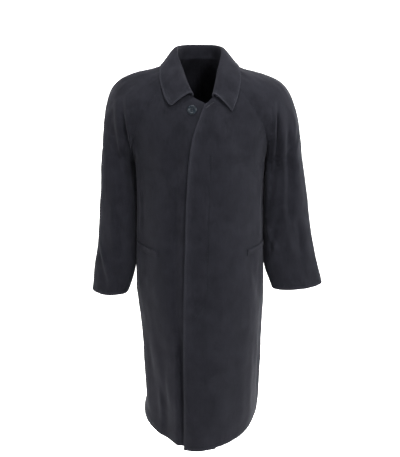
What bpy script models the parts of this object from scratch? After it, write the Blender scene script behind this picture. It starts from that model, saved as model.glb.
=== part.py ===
"""Single-breasted raglan overcoat, worn shape, hollow.

Metres, +Z up, the front faces -Y, the wearer's left is +X. The origin is the middle of the neck base.
The torso is a stack of plan rings; the fronts and backs are cut out of it between the front edge, the
raglan seam, the side seam and the centre-back seam. The sleeves are rows of curves from the raglan and
underarm seams to the overarm seam. Every piece is an open sheet that Solidify gives its wall.
"""
import math

import bpy
import numpy as np
from mathutils import Matrix, Vector

# ---- driving sizes -------------------------------------------------------------------------------
CLOTH = 0.0025                # wall of the overcoating
COLLAR_CLOTH = 0.0026         # wall of the collar, two layers pressed together
SEAM_GAP = 0.0003             # air between two pieces at a seam
UNDERARM_Z = -0.290
HEM_Z = -1.180                # hem at the side seams
HEM_FRONT_DROP = 0.025        # how much lower the hem hangs at the front edge
HEM_BACK_DROP = 0.0075        # and at the centre back
LAP_STEP = 0.0023             # the over front stands out, the under front in, by this much
LAP_REACH = 0.065             # the step is whole up to here from the centre
LAP_FADE = 0.055              # and fades out over this width
LAP_SEAM_FADE = 0.4           # and over this share of the panel before its side
BUTTON_DIAMETER = 0.028
BUTTON_THICK = 0.0038
BUTTON_PLACE = (-0.0225, -0.1175)    # x, z of the neck button
BUTTON_STEPS = 32
THREAD_HOLES = 4
THREAD_HOLE_RADIUS = 0.0011
THREAD_HOLE_PLACE = 0.0030    # from the button's middle
THREAD_HOLE_STEPS = 12
WELT_LENGTH = 0.128
WELT_HEIGHT = 0.020
WELT_CLOTH = 0.0020
WELT_TOP_Z = -0.536
WELT_FRONT_X = {"left": 0.141, "right": 0.123}     # front end of each welt, from the centre
UNDERARM_FOLD = 0.0036        # the sleeve's seam edge stands off the torso in the fold under the arm
UNDERARM_FOLD_REACH = 0.50    # and comes back to it this far up the raglan seam
COLLAR_SEAM_RISE = 0.0018     # edge of the collar beyond the neck edges, on in their direction
COLLAR_REST = 0.0020          # air under the collar where it lies on the coat
COLLAR_ROLL_PLACE = 0.3       # share of the collar's rows that stand, up to the roll line
COLLAR_LYING = 0.35           # and from which they lie on the coat
COLLAR_TURN = 0.3             # roundness of the roll, as a share of the stand's height
COLLAR_TURN_MOST = 0.010
COLLAR_TURN_LEAST = 0.0025
COLLAR_MIDDLE_Y = -0.02       # the collar turns outward from here
COAT_MIDDLE = (0.1, 0.0, -0.15)      # a point inside each half of the coat
FOLD_START = 0.45             # a fold swells over this share of its length
FOLD_END = 0.40               # and dies out over this share
FOLD_BEYOND = 0.25            # past its bottom by this share
SLEEVE_FOLD_ENDS = 0.3

# grid steps of the faceted sheets
SKIRT_ROWS = 15               # hem to underarm
YOKE_ROWS = 9                 # underarm to neck
REST_STEPS = 5                # places tested along each facet for what lies on it
REST_PASSES = 6
FRONT_COLUMNS = 10
BACK_COLUMNS = 8
SLEEVE_ROWS = 13              # cuff to underarm
SLEEVE_COLUMNS = 7
COLLAR_COLUMNS = 34
COLLAR_ROWS = 9
WELT_COLUMNS = 8
WELT_ROWS = 2

NAVY = (0.0105, 0.0125, 0.0195, 1.0)
BUTTON_COLOUR = (0.006, 0.008, 0.014, 1.0)

# ---- tables --------------------------------------------------------------------------------------
# plan rings of the torso: half widths to the wearer's left and right, depths to front and back
BODY_NAMES = ("z", "left", "right", "front", "back", "power")
BODY = (
    (0.030, 0.070, 0.070, 0.030, 0.083, 2.15),
    (0.018, 0.085, 0.085, 0.036, 0.090, 2.15),
    (0.005, 0.106, 0.110, 0.049, 0.100, 2.15),
    (-0.004, 0.125, 0.132, 0.058, 0.107, 2.15),
    (-0.013, 0.150, 0.160, 0.067, 0.114, 2.15),
    (-0.022, 0.182, 0.192, 0.077, 0.120, 2.15),
    (-0.034, 0.212, 0.218, 0.089, 0.128, 2.15),
    (-0.050, 0.238, 0.240, 0.102, 0.136, 2.15),
    (-0.070, 0.250, 0.251, 0.114, 0.143, 2.15),
    (-0.095, 0.252, 0.252, 0.128, 0.150, 2.15),
    (-0.120, 0.249, 0.248, 0.141, 0.155, 2.15),
    (-0.150, 0.242, 0.240, 0.152, 0.160, 2.15),
    (-0.200, 0.226, 0.224, 0.164, 0.164, 2.15),
    (-0.250, 0.212, 0.211, 0.171, 0.166, 2.15),
    (-0.290, 0.2035, 0.2030, 0.175, 0.167, 2.15),
    (-0.400, 0.2025, 0.2010, 0.185, 0.168, 2.15),
    (-0.520, 0.2055, 0.2050, 0.195, 0.171, 2.15),
    (-0.620, 0.2080, 0.2095, 0.202, 0.176, 2.13),
    (-0.700, 0.2115, 0.2100, 0.207, 0.181, 2.10),
    (-0.750, 0.2125, 0.2050, 0.210, 0.184, 2.08),
    (-0.800, 0.2110, 0.1990, 0.212, 0.186, 2.05),
    (-0.880, 0.2100, 0.1935, 0.216, 0.189, 2.02),
    (-0.980, 0.2095, 0.1905, 0.219, 0.193, 1.98),
    (-1.080, 0.2080, 0.1880, 0.222, 0.197, 1.93),
    (-1.130, 0.2070, 0.1895, 0.222, 0.199, 1.90),
    (-1.165, 0.2040, 0.1960, 0.222, 0.200, 1.87),
    (-1.210, 0.1970, 0.1960, 0.222, 0.200, 1.84),
)
# front edges, distance from the centre towards the panel's own side (below zero is past the centre)
EDGE_NAMES = ("z", "over", "under")
EDGE = (
    (-0.060, 0.030, -0.024),
    (-0.103, 0.013, -0.030),
    (-0.134, 0.000, -0.033),
    (-0.194, -0.021, -0.038),
    (-0.246, -0.030, -0.041),
    (-0.307, -0.035, -0.044),
    (-0.391, -0.040, -0.046),
    (-0.490, -0.043, -0.048),
    (-0.688, -0.048, -0.050),
    (-1.205, -0.053, -0.052),
)
# raglan seams on the torso, distance from the centre; the last row is the underarm, on the side
RAGLAN_NAMES = ("z", "front", "back")
RAGLAN = (
    (0.030, 0.050, 0.050),
    (0.018, 0.058, 0.058),
    (-0.012, 0.075, 0.080),
    (-0.040, 0.098, 0.099),
    (-0.060, 0.115, 0.112),
    (-0.090, 0.138, 0.131),
    (-0.123, 0.161, 0.151),
    (-0.155, 0.180, 0.170),
    (-0.200, 0.198, 0.191),
    (-0.245, 0.2055, 0.2030),
)
# height of the neck seam across each panel, from its centre edge (0) to its raglan seam (1)
NECK_NAMES = ("across", "over", "under", "back")
NECK = (
    (0.00, -0.1030, -0.1070, 0.0200),
    (0.12, -0.0830, -0.0950, 0.0200),
    (0.26, -0.0690, -0.0815, 0.0199),
    (0.45, -0.0510, -0.0610, 0.0196),
    (0.70, -0.0310, -0.0345, 0.0190),
    (1.00, -0.0120, -0.0120, 0.0180),
)
# overarm seam and sleeve fullness above the underarm: up is 0 at the underarm and 1 at the neck
YOKE_NAMES = ("up", "leftX", "leftZ", "rightX", "rightZ", "y",
              "startX", "startY", "startZ", "endX", "endY", "endZ",
              "backX", "backY", "backZ", "lastX", "lastY", "lastZ")
YOKE = (
    (0.00, 0.3145, -0.235, 0.302, -0.235, 0.000, 0.000, -0.108, 0.006, 0.000, -0.112, 0.0,
     0.000, 0.100, 0.006, 0.000, 0.104, 0.0),
    (0.18, 0.307, -0.190, 0.297, -0.190, 0.000, 0.012, -0.060, 0.004, 0.000, -0.096, 0.0,
     0.012, 0.056, 0.004, 0.000, 0.092, 0.0),
    (0.36, 0.2965, -0.143, 0.2915, -0.143, 0.000, 0.032, -0.022, 0.004, 0.000, -0.080, 0.0,
     0.030, 0.020, 0.004, 0.000, 0.078, 0.0),
    (0.54, 0.279, -0.090, 0.2785, -0.086, 0.001, 0.042, -0.003, 0.004, 0.000, -0.066, 0.0,
     0.040, 0.004, 0.004, 0.000, 0.066, 0.0),
    (0.70, 0.247, -0.049, 0.2510, -0.046, 0.002, 0.040, 0.006, 0.006, 0.000, -0.054, -0.001,
     0.038, 0.000, 0.008, 0.000, 0.054, -0.001),
    (0.84, 0.193, -0.024, 0.2010, -0.021, 0.003, 0.028, 0.014, 0.012, 0.000, -0.040, -0.002,
     0.028, -0.008, 0.012, 0.000, 0.040, -0.001),
    (0.93, 0.134, -0.009, 0.1420, -0.008, 0.004, 0.014, 0.018, 0.013, 0.000, -0.028, -0.003,
     0.014, -0.014, 0.006, 0.000, 0.030, 0.000),
    (1.00, 0.083, 0.0115, 0.0845, 0.0115, 0.005, 0.005, 0.018, 0.008, 0.000, -0.020, -0.004,
     0.010, -0.018, 0.000, 0.000, 0.021, 0.0025),
)
# sleeves from the cuff (0) to the underarm (1), one table a side
SLEEVE_NAMES = ("up", "innerX", "innerZ", "innerY", "outerX", "outerZ", "outerY", "front", "back")
SLEEVE = {
    "left": (
        (0.00, 0.2370, -0.6990, -0.046, 0.4020, -0.6880, -0.030, 0.034, 0.034),
        (0.06, 0.2280, -0.6760, -0.046, 0.3970, -0.6680, -0.030, 0.037, 0.037),
        (0.16, 0.2140, -0.6310, -0.046, 0.3850, -0.6280, -0.029, 0.043, 0.042),
        (0.34, 0.2075, -0.5550, -0.043, 0.3650, -0.5500, -0.026, 0.050, 0.051),
        (0.56, 0.2050, -0.4620, -0.036, 0.3475, -0.4500, -0.021, 0.058, 0.062),
        (0.78, 0.2045, -0.3700, -0.024, 0.3310, -0.3450, -0.013, 0.068, 0.072),
        (0.92, 0.2070, -0.3150, -0.010, 0.3210, -0.2800, -0.005, 0.078, 0.077),
        (1.00, 0.2071, -0.2890, 0.000, 0.3145, -0.2350, 0.000, 0.084, 0.079),
    ),
    "right": (
        (0.00, 0.2360, -0.7090, -0.046, 0.3545, -0.7070, -0.032, 0.047, 0.046),
        (0.06, 0.2275, -0.6900, -0.046, 0.3515, -0.6860, -0.032, 0.048, 0.047),
        (0.16, 0.2160, -0.6470, -0.046, 0.3455, -0.6370, -0.030, 0.050, 0.049),
        (0.34, 0.2090, -0.5700, -0.043, 0.3310, -0.5550, -0.027, 0.053, 0.054),
        (0.56, 0.2050, -0.4700, -0.036, 0.3195, -0.4500, -0.022, 0.059, 0.062),
        (0.78, 0.2040, -0.3720, -0.024, 0.3115, -0.3450, -0.013, 0.069, 0.071),
        (0.92, 0.2065, -0.3150, -0.010, 0.3070, -0.2800, -0.005, 0.078, 0.076),
        (1.00, 0.2066, -0.2890, 0.000, 0.3020, -0.2350, 0.000, 0.084, 0.079),
    ),
}
CUFF_DROP = 0.006             # the front of each cuff hangs lower by this much, fading up the sleeve
CUFF_DROP_REACH = 0.15
# collar, from its front end (0) to the centre back (1): roll line and outer edge, from the centre
COLLAR_NAMES = ("along", "rollX", "rollY", "rollZ", "edgeX", "edgeY", "edgeZ")
COLLAR = {
    "left": (
        (0.00, 0.0360, -0.1290, -0.0785, 0.0920, -0.1400, -0.1190),
        (0.08, 0.0400, -0.1130, -0.0640, 0.1010, -0.1330, -0.1010),
        (0.18, 0.0460, -0.0890, -0.0420, 0.1085, -0.1190, -0.0820),
        (0.30, 0.0540, -0.0610, -0.0100, 0.1150, -0.1010, -0.0570),
        (0.42, 0.0620, -0.0300, 0.0150, 0.1190, -0.0760, -0.0310),
        (0.54, 0.0680, 0.0020, 0.0370, 0.1185, -0.0350, -0.0070),
        (0.66, 0.0680, 0.0310, 0.0520, 0.1120, 0.0150, 0.0040),
        (0.80, 0.0560, 0.0680, 0.0580, 0.0980, 0.0830, -0.0040),
        (0.90, 0.0340, 0.0880, 0.0605, 0.0640, 0.1200, -0.0120),
        (1.00, 0.0000, 0.0960, 0.0610, 0.0000, 0.1370, -0.0150),
    ),
    "right": (
        (0.00, 0.0200, -0.1260, -0.0765, 0.0830, -0.1370, -0.1080),
        (0.08, 0.0270, -0.1110, -0.0620, 0.0960, -0.1280, -0.0930),
        (0.18, 0.0370, -0.0880, -0.0430, 0.1050, -0.1160, -0.0760),
        (0.30, 0.0500, -0.0600, -0.0140, 0.1120, -0.0980, -0.0540),
        (0.42, 0.0610, -0.0330, 0.0110, 0.1180, -0.0740, -0.0310),
        (0.54, 0.0710, -0.0020, 0.0350, 0.1195, -0.0350, -0.0080),
        (0.66, 0.0735, 0.0300, 0.0530, 0.1160, 0.0150, 0.0040),
        (0.80, 0.0580, 0.0680, 0.0590, 0.0990, 0.0830, -0.0040),
        (0.90, 0.0345, 0.0880, 0.0608, 0.0640, 0.1200, -0.0120),
        (1.00, 0.0000, 0.0960, 0.0610, 0.0000, 0.1370, -0.0150),
    ),
}
# largest soft folds of the torso: place round the ring in degrees (0 front, 90 the wearer's left,
# -90 right), how far the fold leans sideways on the way down, heights, height of the wave and width
FOLD_NAMES = ("angle", "lean", "top", "bottom", "height", "width")
FOLDS = (
    (-27, 1, -0.780, -1.230, 0.0070, 7),
    (-19, 1, -0.820, -1.230, -0.0035, 5),
    (-48, 13, -0.880, -1.230, -0.0060, 9),
    (-60, 22, -0.560, -0.900, -0.0045, 9),
    (-74, 6, -0.600, -1.230, 0.0045, 11),
    (58, 18, -0.560, -0.900, -0.0045, 9),
    (40, -4, -0.760, -1.230, 0.0040, 13),
    (76, -4, -0.820, -1.230, -0.0045, 11),
    (32, 2, -0.300, -0.640, 0.0025, 13),
    (-34, -2, -0.320, -0.700, 0.0025, 14),
    (118, 2, -0.600, -1.230, 0.0060, 15),
    (148, -4, -0.560, -1.230, -0.0070, 14),
    (168, -3, -0.700, -1.230, 0.0060, 10),
    (-166, 3, -0.640, -1.230, 0.0065, 12),
    (-142, 5, -0.540, -1.230, -0.0070, 14),
    (-116, -3, -0.620, -1.230, 0.0055, 13),
)
# half outline of the button: across as a share of its radius, up as a share of its thickness
BUTTON_PROFILE = (
    (0.00, 0.62), (0.58, 0.62), (0.68, 0.95), (0.80, 1.00), (0.94, 0.88),
    (1.00, 0.62), (0.97, 0.35), (0.75, 0.00), (0.00, 0.00),
)
# folds of the sleeves: half, place from the inner (0) to the outer seam (1) at the top
# and at the foot of the fold, rows it spans from the cuff (0) to the underarm (1) and neck (2)
SLEEVE_FOLD_NAMES = ("half", "placeTop", "placeFoot", "top", "bottom", "height", "width")
SLEEVE_FOLDS = {
    "left": (
        ("front", 0.74, 0.62, 1.55, 0.40, 0.0035, 0.10),
        ("front", 0.52, 0.46, 1.45, 0.45, -0.0050, 0.08),
        ("front", 0.24, 0.22, 1.25, 0.05, 0.0030, 0.10),
        ("back", 0.50, 0.42, 1.40, 0.30, -0.0050, 0.12),
        ("back", 0.75, 0.66, 1.30, 0.20, 0.0035, 0.11),
    ),
    "right": (
        ("front", 0.72, 0.80, 1.55, 0.50, 0.0035, 0.11),
        ("front", 0.44, 0.34, 1.45, 0.50, -0.0055, 0.09),
        ("front", 0.62, 0.30, 0.42, -0.10, -0.0040, 0.09),
        ("back", 0.48, 0.40, 1.40, 0.30, -0.0050, 0.12),
        ("back", 0.76, 0.70, 1.30, 0.20, 0.0035, 0.11),
    ),
}

SIDE_SIGN = {"left": 1.0, "right": -1.0}


def table_curve(rows, columns, name):
    """A smooth curve through one column of a table, over its first column, without overshoot."""
    data = np.array(rows, float)
    data = data[np.argsort(data[:, 0])]
    x = data[:, 0]
    y = data[:, columns.index(name)]
    slope = np.diff(y) / np.diff(x)
    before, after = slope[:-1], slope[1:]
    same = before * after > 0
    inner = np.zeros_like(before)
    inner[same] = 2 * before[same] * after[same] / (before[same] + after[same])
    tangent = np.concatenate(([slope[0]], inner, [slope[-1]]))

    def at(value):
        value = np.clip(value, x[0], x[-1])
        i = np.clip(np.searchsorted(x, value) - 1, 0, len(x) - 2)
        width = x[i + 1] - x[i]
        s = (value - x[i]) / width
        return (y[i] * (1 + 2 * s) * (1 - s) ** 2 + y[i + 1] * s * s * (3 - 2 * s)
                + width * (tangent[i] * s * (1 - s) ** 2 - tangent[i + 1] * s * s * (1 - s)))

    return at


def smooth_step(value):
    value = np.clip(value, 0.0, 1.0)
    return value * value * (3 - 2 * value)


def signed_power(value, power):
    return np.sign(value) * np.abs(value) ** power


def angle_at(side, x, z):
    """Angle round the ring, from the front, of a place x from the centre."""
    return np.arcsin(np.clip(signed_power(x / body_curves[side](z), body_curves["power"](z) / 2), -1, 1))


def fold_wave(angle_degrees, z):
    """Height of the torso's folds at a signed angle and a height."""
    wave = np.zeros(np.broadcast(angle_degrees, z).shape)
    for row in FOLDS:
        fold = dict(zip(FOLD_NAMES, row))
        down = (fold["top"] - z) / (fold["top"] - fold["bottom"])
        swell = smooth_step(down / FOLD_START) * smooth_step((1 + FOLD_BEYOND - down) / FOLD_END)
        away = (angle_degrees - fold["angle"] - fold["lean"] * down + 180) % 360 - 180
        wave = wave + fold["height"] * swell * np.exp(-(away / fold["width"]) ** 2)
    return wave


body_curves = {name: table_curve(BODY, BODY_NAMES, name) for name in BODY_NAMES[1:]}


def ring(side, z, angle):
    """Point of the torso at a height and an angle from the front, 0, to the back, pi."""
    half = body_curves[side](z)
    depth = np.where(np.abs(angle) <= math.pi / 2, body_curves["front"](z), body_curves["back"](z))
    wave = fold_wave(SIDE_SIGN[side] * np.degrees(angle), z)
    power = 2 / body_curves["power"](z)     # a power of 2 is an ellipse, more is squarer
    x = (half + wave) * signed_power(np.sin(angle), power)
    y = -(depth + wave) * signed_power(np.cos(angle), power)
    return np.stack([SIDE_SIGN[side] * x, y, z + 0 * x], axis=-1)


def seam_angle(side, panel):
    """Angle of the raglan seam over the height, up to the side at the underarm."""
    rows = [(UNDERARM_Z, math.pi / 2)]
    for row in RAGLAN:
        x = row[RAGLAN_NAMES.index(panel)]
        rows.append((row[0], float(angle_at(side, x, row[0]))))
    return table_curve(rows, ("z", "angle"), "angle")


def two_part_rows(low_rows):
    """Rows as two fractions: up to the underarm, then up the yoke to the neck."""
    low = np.linspace(0, 1, low_rows + 1)
    yoke = np.linspace(0, 1, YOKE_ROWS + 1)[1:]
    return (np.concatenate([low, np.ones(len(yoke))]),
            np.concatenate([np.zeros(len(low)), yoke]))


def torso_panel(side, panel, columns):
    """Grid of a front or a back: rows from the hem to the neck, columns from the centre to the side."""
    name = {"front": "over" if side == "left" else "under", "back": "back"}[panel]
    across = np.linspace(0, 1, columns + 1)[None, :]
    skirt, yoke = (part[:, None] for part in two_part_rows(SKIRT_ROWS))
    drop = HEM_FRONT_DROP if panel == "front" else HEM_BACK_DROP
    hem = HEM_Z - drop * np.cos(across * math.pi / 2) ** 3
    neck = table_curve(NECK, NECK_NAMES, name)(across)
    z = hem + (UNDERARM_Z - hem) * skirt + (neck - UNDERARM_Z) * yoke
    seam = np.where(z > UNDERARM_Z, seam_angle(side, panel)(z), math.pi / 2)
    if panel == "front":
        edge = angle_at(side, table_curve(EDGE, EDGE_NAMES, name)(z), z)
        angle = edge + (seam - edge) * across
    else:
        angle = math.pi - seam * across
    grid = ring(side, z, angle)
    if panel == "front":
        lap = smooth_step((LAP_REACH + LAP_FADE - np.abs(grid[..., 0])) / LAP_FADE)
        lap = lap * smooth_step((1 - across) / LAP_SEAM_FADE)
        grid[..., 1] += lap * (-LAP_STEP if name == "over" else LAP_STEP)
    return grid


def bezier(first, second, third, last, s):
    """Cubic curve between two points, s from 0 to 1 along the last axis but one."""
    return (first * (1 - s) ** 3 + second * 3 * s * (1 - s) ** 2
            + third * 3 * s * s * (1 - s) + last * s ** 3)


def yoke_rows(side, panel, up):
    """Ends and handles of the sleeve's rows above the underarm, in the side's own x."""
    get = {name: table_curve(YOKE, YOKE_NAMES, name)(up) for name in YOKE_NAMES[1:]}
    neck = NECK[-1][NECK_NAMES.index("back" if panel == "back" else "over")]
    z = UNDERARM_Z + (neck - UNDERARM_Z) * up
    angle = seam_angle(side, panel)(z)
    if panel == "back":
        angle = math.pi - angle
    seam = ring(side, z, angle) * (SIDE_SIGN[side], 1, 1)
    away = np.stack([np.sin(angle), -np.cos(angle), 0 * angle], axis=-1)
    seam = seam + away * (UNDERARM_FOLD * (1 - smooth_step(up / UNDERARM_FOLD_REACH)))[:, None]
    outer = np.stack([get[side + "X"], get["y"], get[side + "Z"]], axis=-1)
    names = ("start", "end") if panel == "front" else ("back", "last")
    start, end = (np.stack([get[name + axis] for axis in "XYZ"], axis=-1) for name in names)
    return seam, start, end, outer


def sleeve_rows(side, panel, up):
    """Ends and handles of the sleeve's rows below the underarm, in the side's own x."""
    get = {name: table_curve(SLEEVE[side], SLEEVE_NAMES, name)(up)
           for name in SLEEVE_NAMES[1:]}
    inner, outer = (np.stack([get[name + axis] for axis in "XYZ"], axis=-1) for name in ("inner", "outer"))
    reach = get[panel] * 4 / 3 * (-1 if panel == "front" else 1)
    handle = np.stack([0 * reach, reach, 0 * reach], axis=-1)
    return inner, handle, handle, outer


def sleeve_panel(side, panel):
    """Grid of half a sleeve: rows from the cuff to the neck, columns from the inner to the outer seam."""
    low_level, yoke_level = two_part_rows(SLEEVE_ROWS)
    low = sleeve_rows(side, panel, low_level[:SLEEVE_ROWS + 1])
    top = yoke_rows(side, panel, yoke_level[SLEEVE_ROWS + 1:])
    first, start, end, last = (np.concatenate([a, b])[:, None, :] for a, b in zip(low, top))
    s = np.linspace(0, 1, SLEEVE_COLUMNS + 1)[None, :, None]
    grid = bezier(first, first + start, last + end, last, s)
    level = (low_level + yoke_level)[:, None]
    if panel == "front":
        cuff = 1 - smooth_step(level / CUFF_DROP_REACH)
        grid[..., 2] -= CUFF_DROP * np.sin(s[..., 0] * math.pi) * cuff
    grid = grid + sleeve_wave(side, panel, grid, s[..., 0], level)
    grid[..., 0] *= SIDE_SIGN[side]
    return grid


def sleeve_wave(side, panel, grid, s, level):
    """Folds of a sleeve, pushed away from the middle of the arm."""
    wave = np.zeros(grid.shape[:2])
    for row in SLEEVE_FOLDS[side]:
        fold = dict(zip(SLEEVE_FOLD_NAMES, row))
        if fold["half"] != panel:
            continue
        down = (fold["top"] - level) / (fold["top"] - fold["bottom"])
        swell = smooth_step(down / SLEEVE_FOLD_ENDS) * smooth_step((1 - down) / SLEEVE_FOLD_ENDS)
        place = fold["placeTop"] + (fold["placeFoot"] - fold["placeTop"]) * down
        wave = wave + fold["height"] * swell * np.exp(-((s - place) / fold["width"]) ** 2)
    middle = (grid[:, :1] + grid[:, -1:]) / 2
    away = grid - middle
    away[..., 2] = 0
    away = away / np.maximum(np.linalg.norm(away, axis=-1, keepdims=True), 1e-9)
    return away * wave[..., None]


def trim_seam(grid, column, other, other_column):
    """Draw both sheets back from a shared seam: half the air gap, and room for the walls where they turn."""
    step = 1 if column == 0 else -1
    other_step = 1 if other_column == 0 else -1
    mine = grid[:, column + step] - grid[:, column]
    theirs = other[:, other_column + other_step] - other[:, other_column]
    mine = mine / np.linalg.norm(mine, axis=1, keepdims=True)
    theirs = theirs / np.linalg.norm(theirs, axis=1, keepdims=True)
    turn = np.arccos(np.clip(-(mine * theirs).sum(axis=1), -1, 1))
    back = SEAM_GAP / 2 + CLOTH / 2 * np.tan(np.minimum(turn, math.radians(100)) / 2)
    grid[:, column] += mine * back[:, None]
    other[:, other_column] += theirs * back[:, None]


def neck_path(side, panels):
    """Collar's seam on one side, just beyond the neck edge, from its front end to the centre back."""
    edges = {}
    for panel in ("front", "sleeve_front", "sleeve_back", "back"):
        grid = panels[panel, side]
        onward = grid[-1] - grid[-2]
        edges[panel] = grid[-1] + onward * (COLLAR_SEAM_RISE / np.linalg.norm(onward, axis=1, keepdims=True))
    start_x = COLLAR[side][0][COLLAR_NAMES.index("rollX")]
    own = edges["front"][:, 0] * SIDE_SIGN[side]
    first = np.array([np.interp(start_x, own, edges["front"][:, axis]) for axis in range(3)])
    path = np.concatenate([first[None], edges["front"][own > start_x + 0.001], edges["sleeve_front"][1:],
                           edges["sleeve_back"][-2::-1], edges["back"][-2::-1]])
    length = np.concatenate([[0], np.cumsum(np.linalg.norm(np.diff(path, axis=0), axis=1))])
    return path, length / length[-1]


def collar_grid(panels):
    """Collar from its right end round the back to its left end, and from the neck seam to its edge."""
    along = np.linspace(-1, 1, COLLAR_COLUMNS + 1)
    guides = {}
    for side in SIDE_SIGN:
        get = {name: table_curve(COLLAR[side], COLLAR_NAMES, name)(1 - np.abs(along))
               for name in COLLAR_NAMES[1:]}
        guides[side] = [np.stack([SIDE_SIGN[side] * get[part + "X"], get[part + "Y"], get[part + "Z"]],
                                 axis=-1) for part in ("roll", "edge")]
        path, share = neck_path(side, panels)
        seam = np.stack([np.interp(1 - np.abs(along), share, path[:, axis]) for axis in range(3)], axis=-1)
        guides[side].append(seam)
    on_left = (along > 0)[:, None]
    roll, edge, seam = (np.where(on_left, a, b) for a, b in zip(guides["left"], guides["right"]))
    out = roll * (1, 1, 0) - (0, COLLAR_MIDDLE_Y, 0)
    out = out / np.linalg.norm(out, axis=1, keepdims=True)
    stand = np.linalg.norm(roll - seam, axis=1, keepdims=True)
    turn = np.minimum(COLLAR_TURN * stand, COLLAR_TURN_MOST) + COLLAR_TURN_LEAST
    fall = edge - roll
    levels = np.linspace(0, 1, COLLAR_ROWS + 1)
    grid = []
    for level in levels:
        if level <= COLLAR_ROLL_PLACE:
            s = level / COLLAR_ROLL_PLACE
            grid.append(bezier(seam, seam + (roll - seam) * 0.45, roll - out * turn, roll, s))
        else:
            s = (level - COLLAR_ROLL_PLACE) / (1 - COLLAR_ROLL_PLACE)
            grid.append(bezier(roll, roll + out * turn * 0.9, edge - fall * 0.4 + out * 0.002, edge, s))
    grid = np.stack(grid)
    lying = levels > COLLAR_LYING
    grid[lying] = rest_on(grid[lying], panels, (CLOTH + COLLAR_CLOTH) / 2 + COLLAR_REST)
    return grid


def rest_on(points, panels, clearance):
    """Move points out until they clear the nearest place of the coat's sheets."""
    spots, normals = [], []
    for (panel, side), whole in panels.items():
        grid = between(whole[-YOKE_ROWS - 1:], REST_STEPS)
        spots.append(grid.reshape(-1, 3))
        normal = outward(grid).reshape(-1, 3)
        middle = np.array(COAT_MIDDLE) * (SIDE_SIGN[side], 1, 1)
        facing = ((grid.reshape(-1, 3) - middle) * normal).sum(axis=1).mean()
        normals.append(normal * np.sign(facing))
    spots, normals = np.concatenate(spots), np.concatenate(normals)
    flat = points.reshape(-1, 3).copy()
    for _ in range(REST_PASSES):
        nearest = ((flat[:, None] - spots[None]) ** 2).sum(axis=-1).argmin(axis=1)
        height = ((flat - spots[nearest]) * normals[nearest]).sum(axis=1)
        flat += normals[nearest] * np.maximum(clearance - height, 0)[:, None]
    return flat.reshape(points.shape)


def add_sheet(name, grid, wall, material):
    """An object from a grid of points, as an open sheet with Solidify."""
    rows, columns = grid.shape[:2]
    index = np.arange(rows * columns).reshape(rows, columns)
    quads = np.stack([index[:-1, :-1], index[:-1, 1:], index[1:, 1:], index[1:, :-1]], axis=-1)
    mesh = bpy.data.meshes.new(name)
    mesh.from_pydata(grid.reshape(-1, 3).tolist(), [], quads.reshape(-1, 4).tolist())
    mesh.update()
    mesh.shade_smooth()
    return add_object(name, mesh, wall, material)


def add_object(name, mesh, wall, material):
    piece = bpy.data.objects.new(name, mesh)
    coat.objects.link(piece)
    mesh.materials.append(material)
    if wall:
        solid = piece.modifiers.new("wall", "SOLIDIFY")
        solid.thickness = wall
        solid.offset = 0
        solid.use_even_offset = True
    return piece


def new_material(name, colour, roughness, sheen=0.0):
    material = bpy.data.materials.new(name)
    material.use_nodes = True
    shader = material.node_tree.nodes["Principled BSDF"]
    shader.inputs["Base Color"].default_value = colour
    shader.inputs["Roughness"].default_value = roughness
    shader.inputs["Metallic"].default_value = 0.0
    shader.inputs["Sheen Weight"].default_value = sheen
    return material


def cloth_material(name):
    return new_material(name + "_cloth", NAVY, 0.85, 0.35)


def outward(grid):
    """Unit normals of a grid, from its own differences."""
    down = np.gradient(grid, axis=0)
    across = np.gradient(grid, axis=1)
    normal = np.cross(across, down)
    return normal / np.linalg.norm(normal, axis=-1, keepdims=True)


def welt_grid(side):
    """Strip on the front panel: its points, moved out past the cloth."""
    half = body_curves[side](WELT_TOP_Z)
    depth = body_curves["front"](WELT_TOP_Z)
    start = float(angle_at(side, WELT_FRONT_X[side], WELT_TOP_Z))
    stop = start + WELT_LENGTH / float((half + depth) / 2)
    angle = np.linspace(start, stop, WELT_COLUMNS + 1)[None, :]
    z = np.linspace(WELT_TOP_Z - WELT_HEIGHT, WELT_TOP_Z, WELT_ROWS + 1)[:, None]
    grid = ring(side, z, angle)
    normal = grid * (1, 1, 0)
    normal = normal / np.linalg.norm(normal, axis=-1, keepdims=True)
    return grid + normal * (CLOTH / 2 + WELT_CLOTH / 2 + SEAM_GAP * 2)


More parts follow.
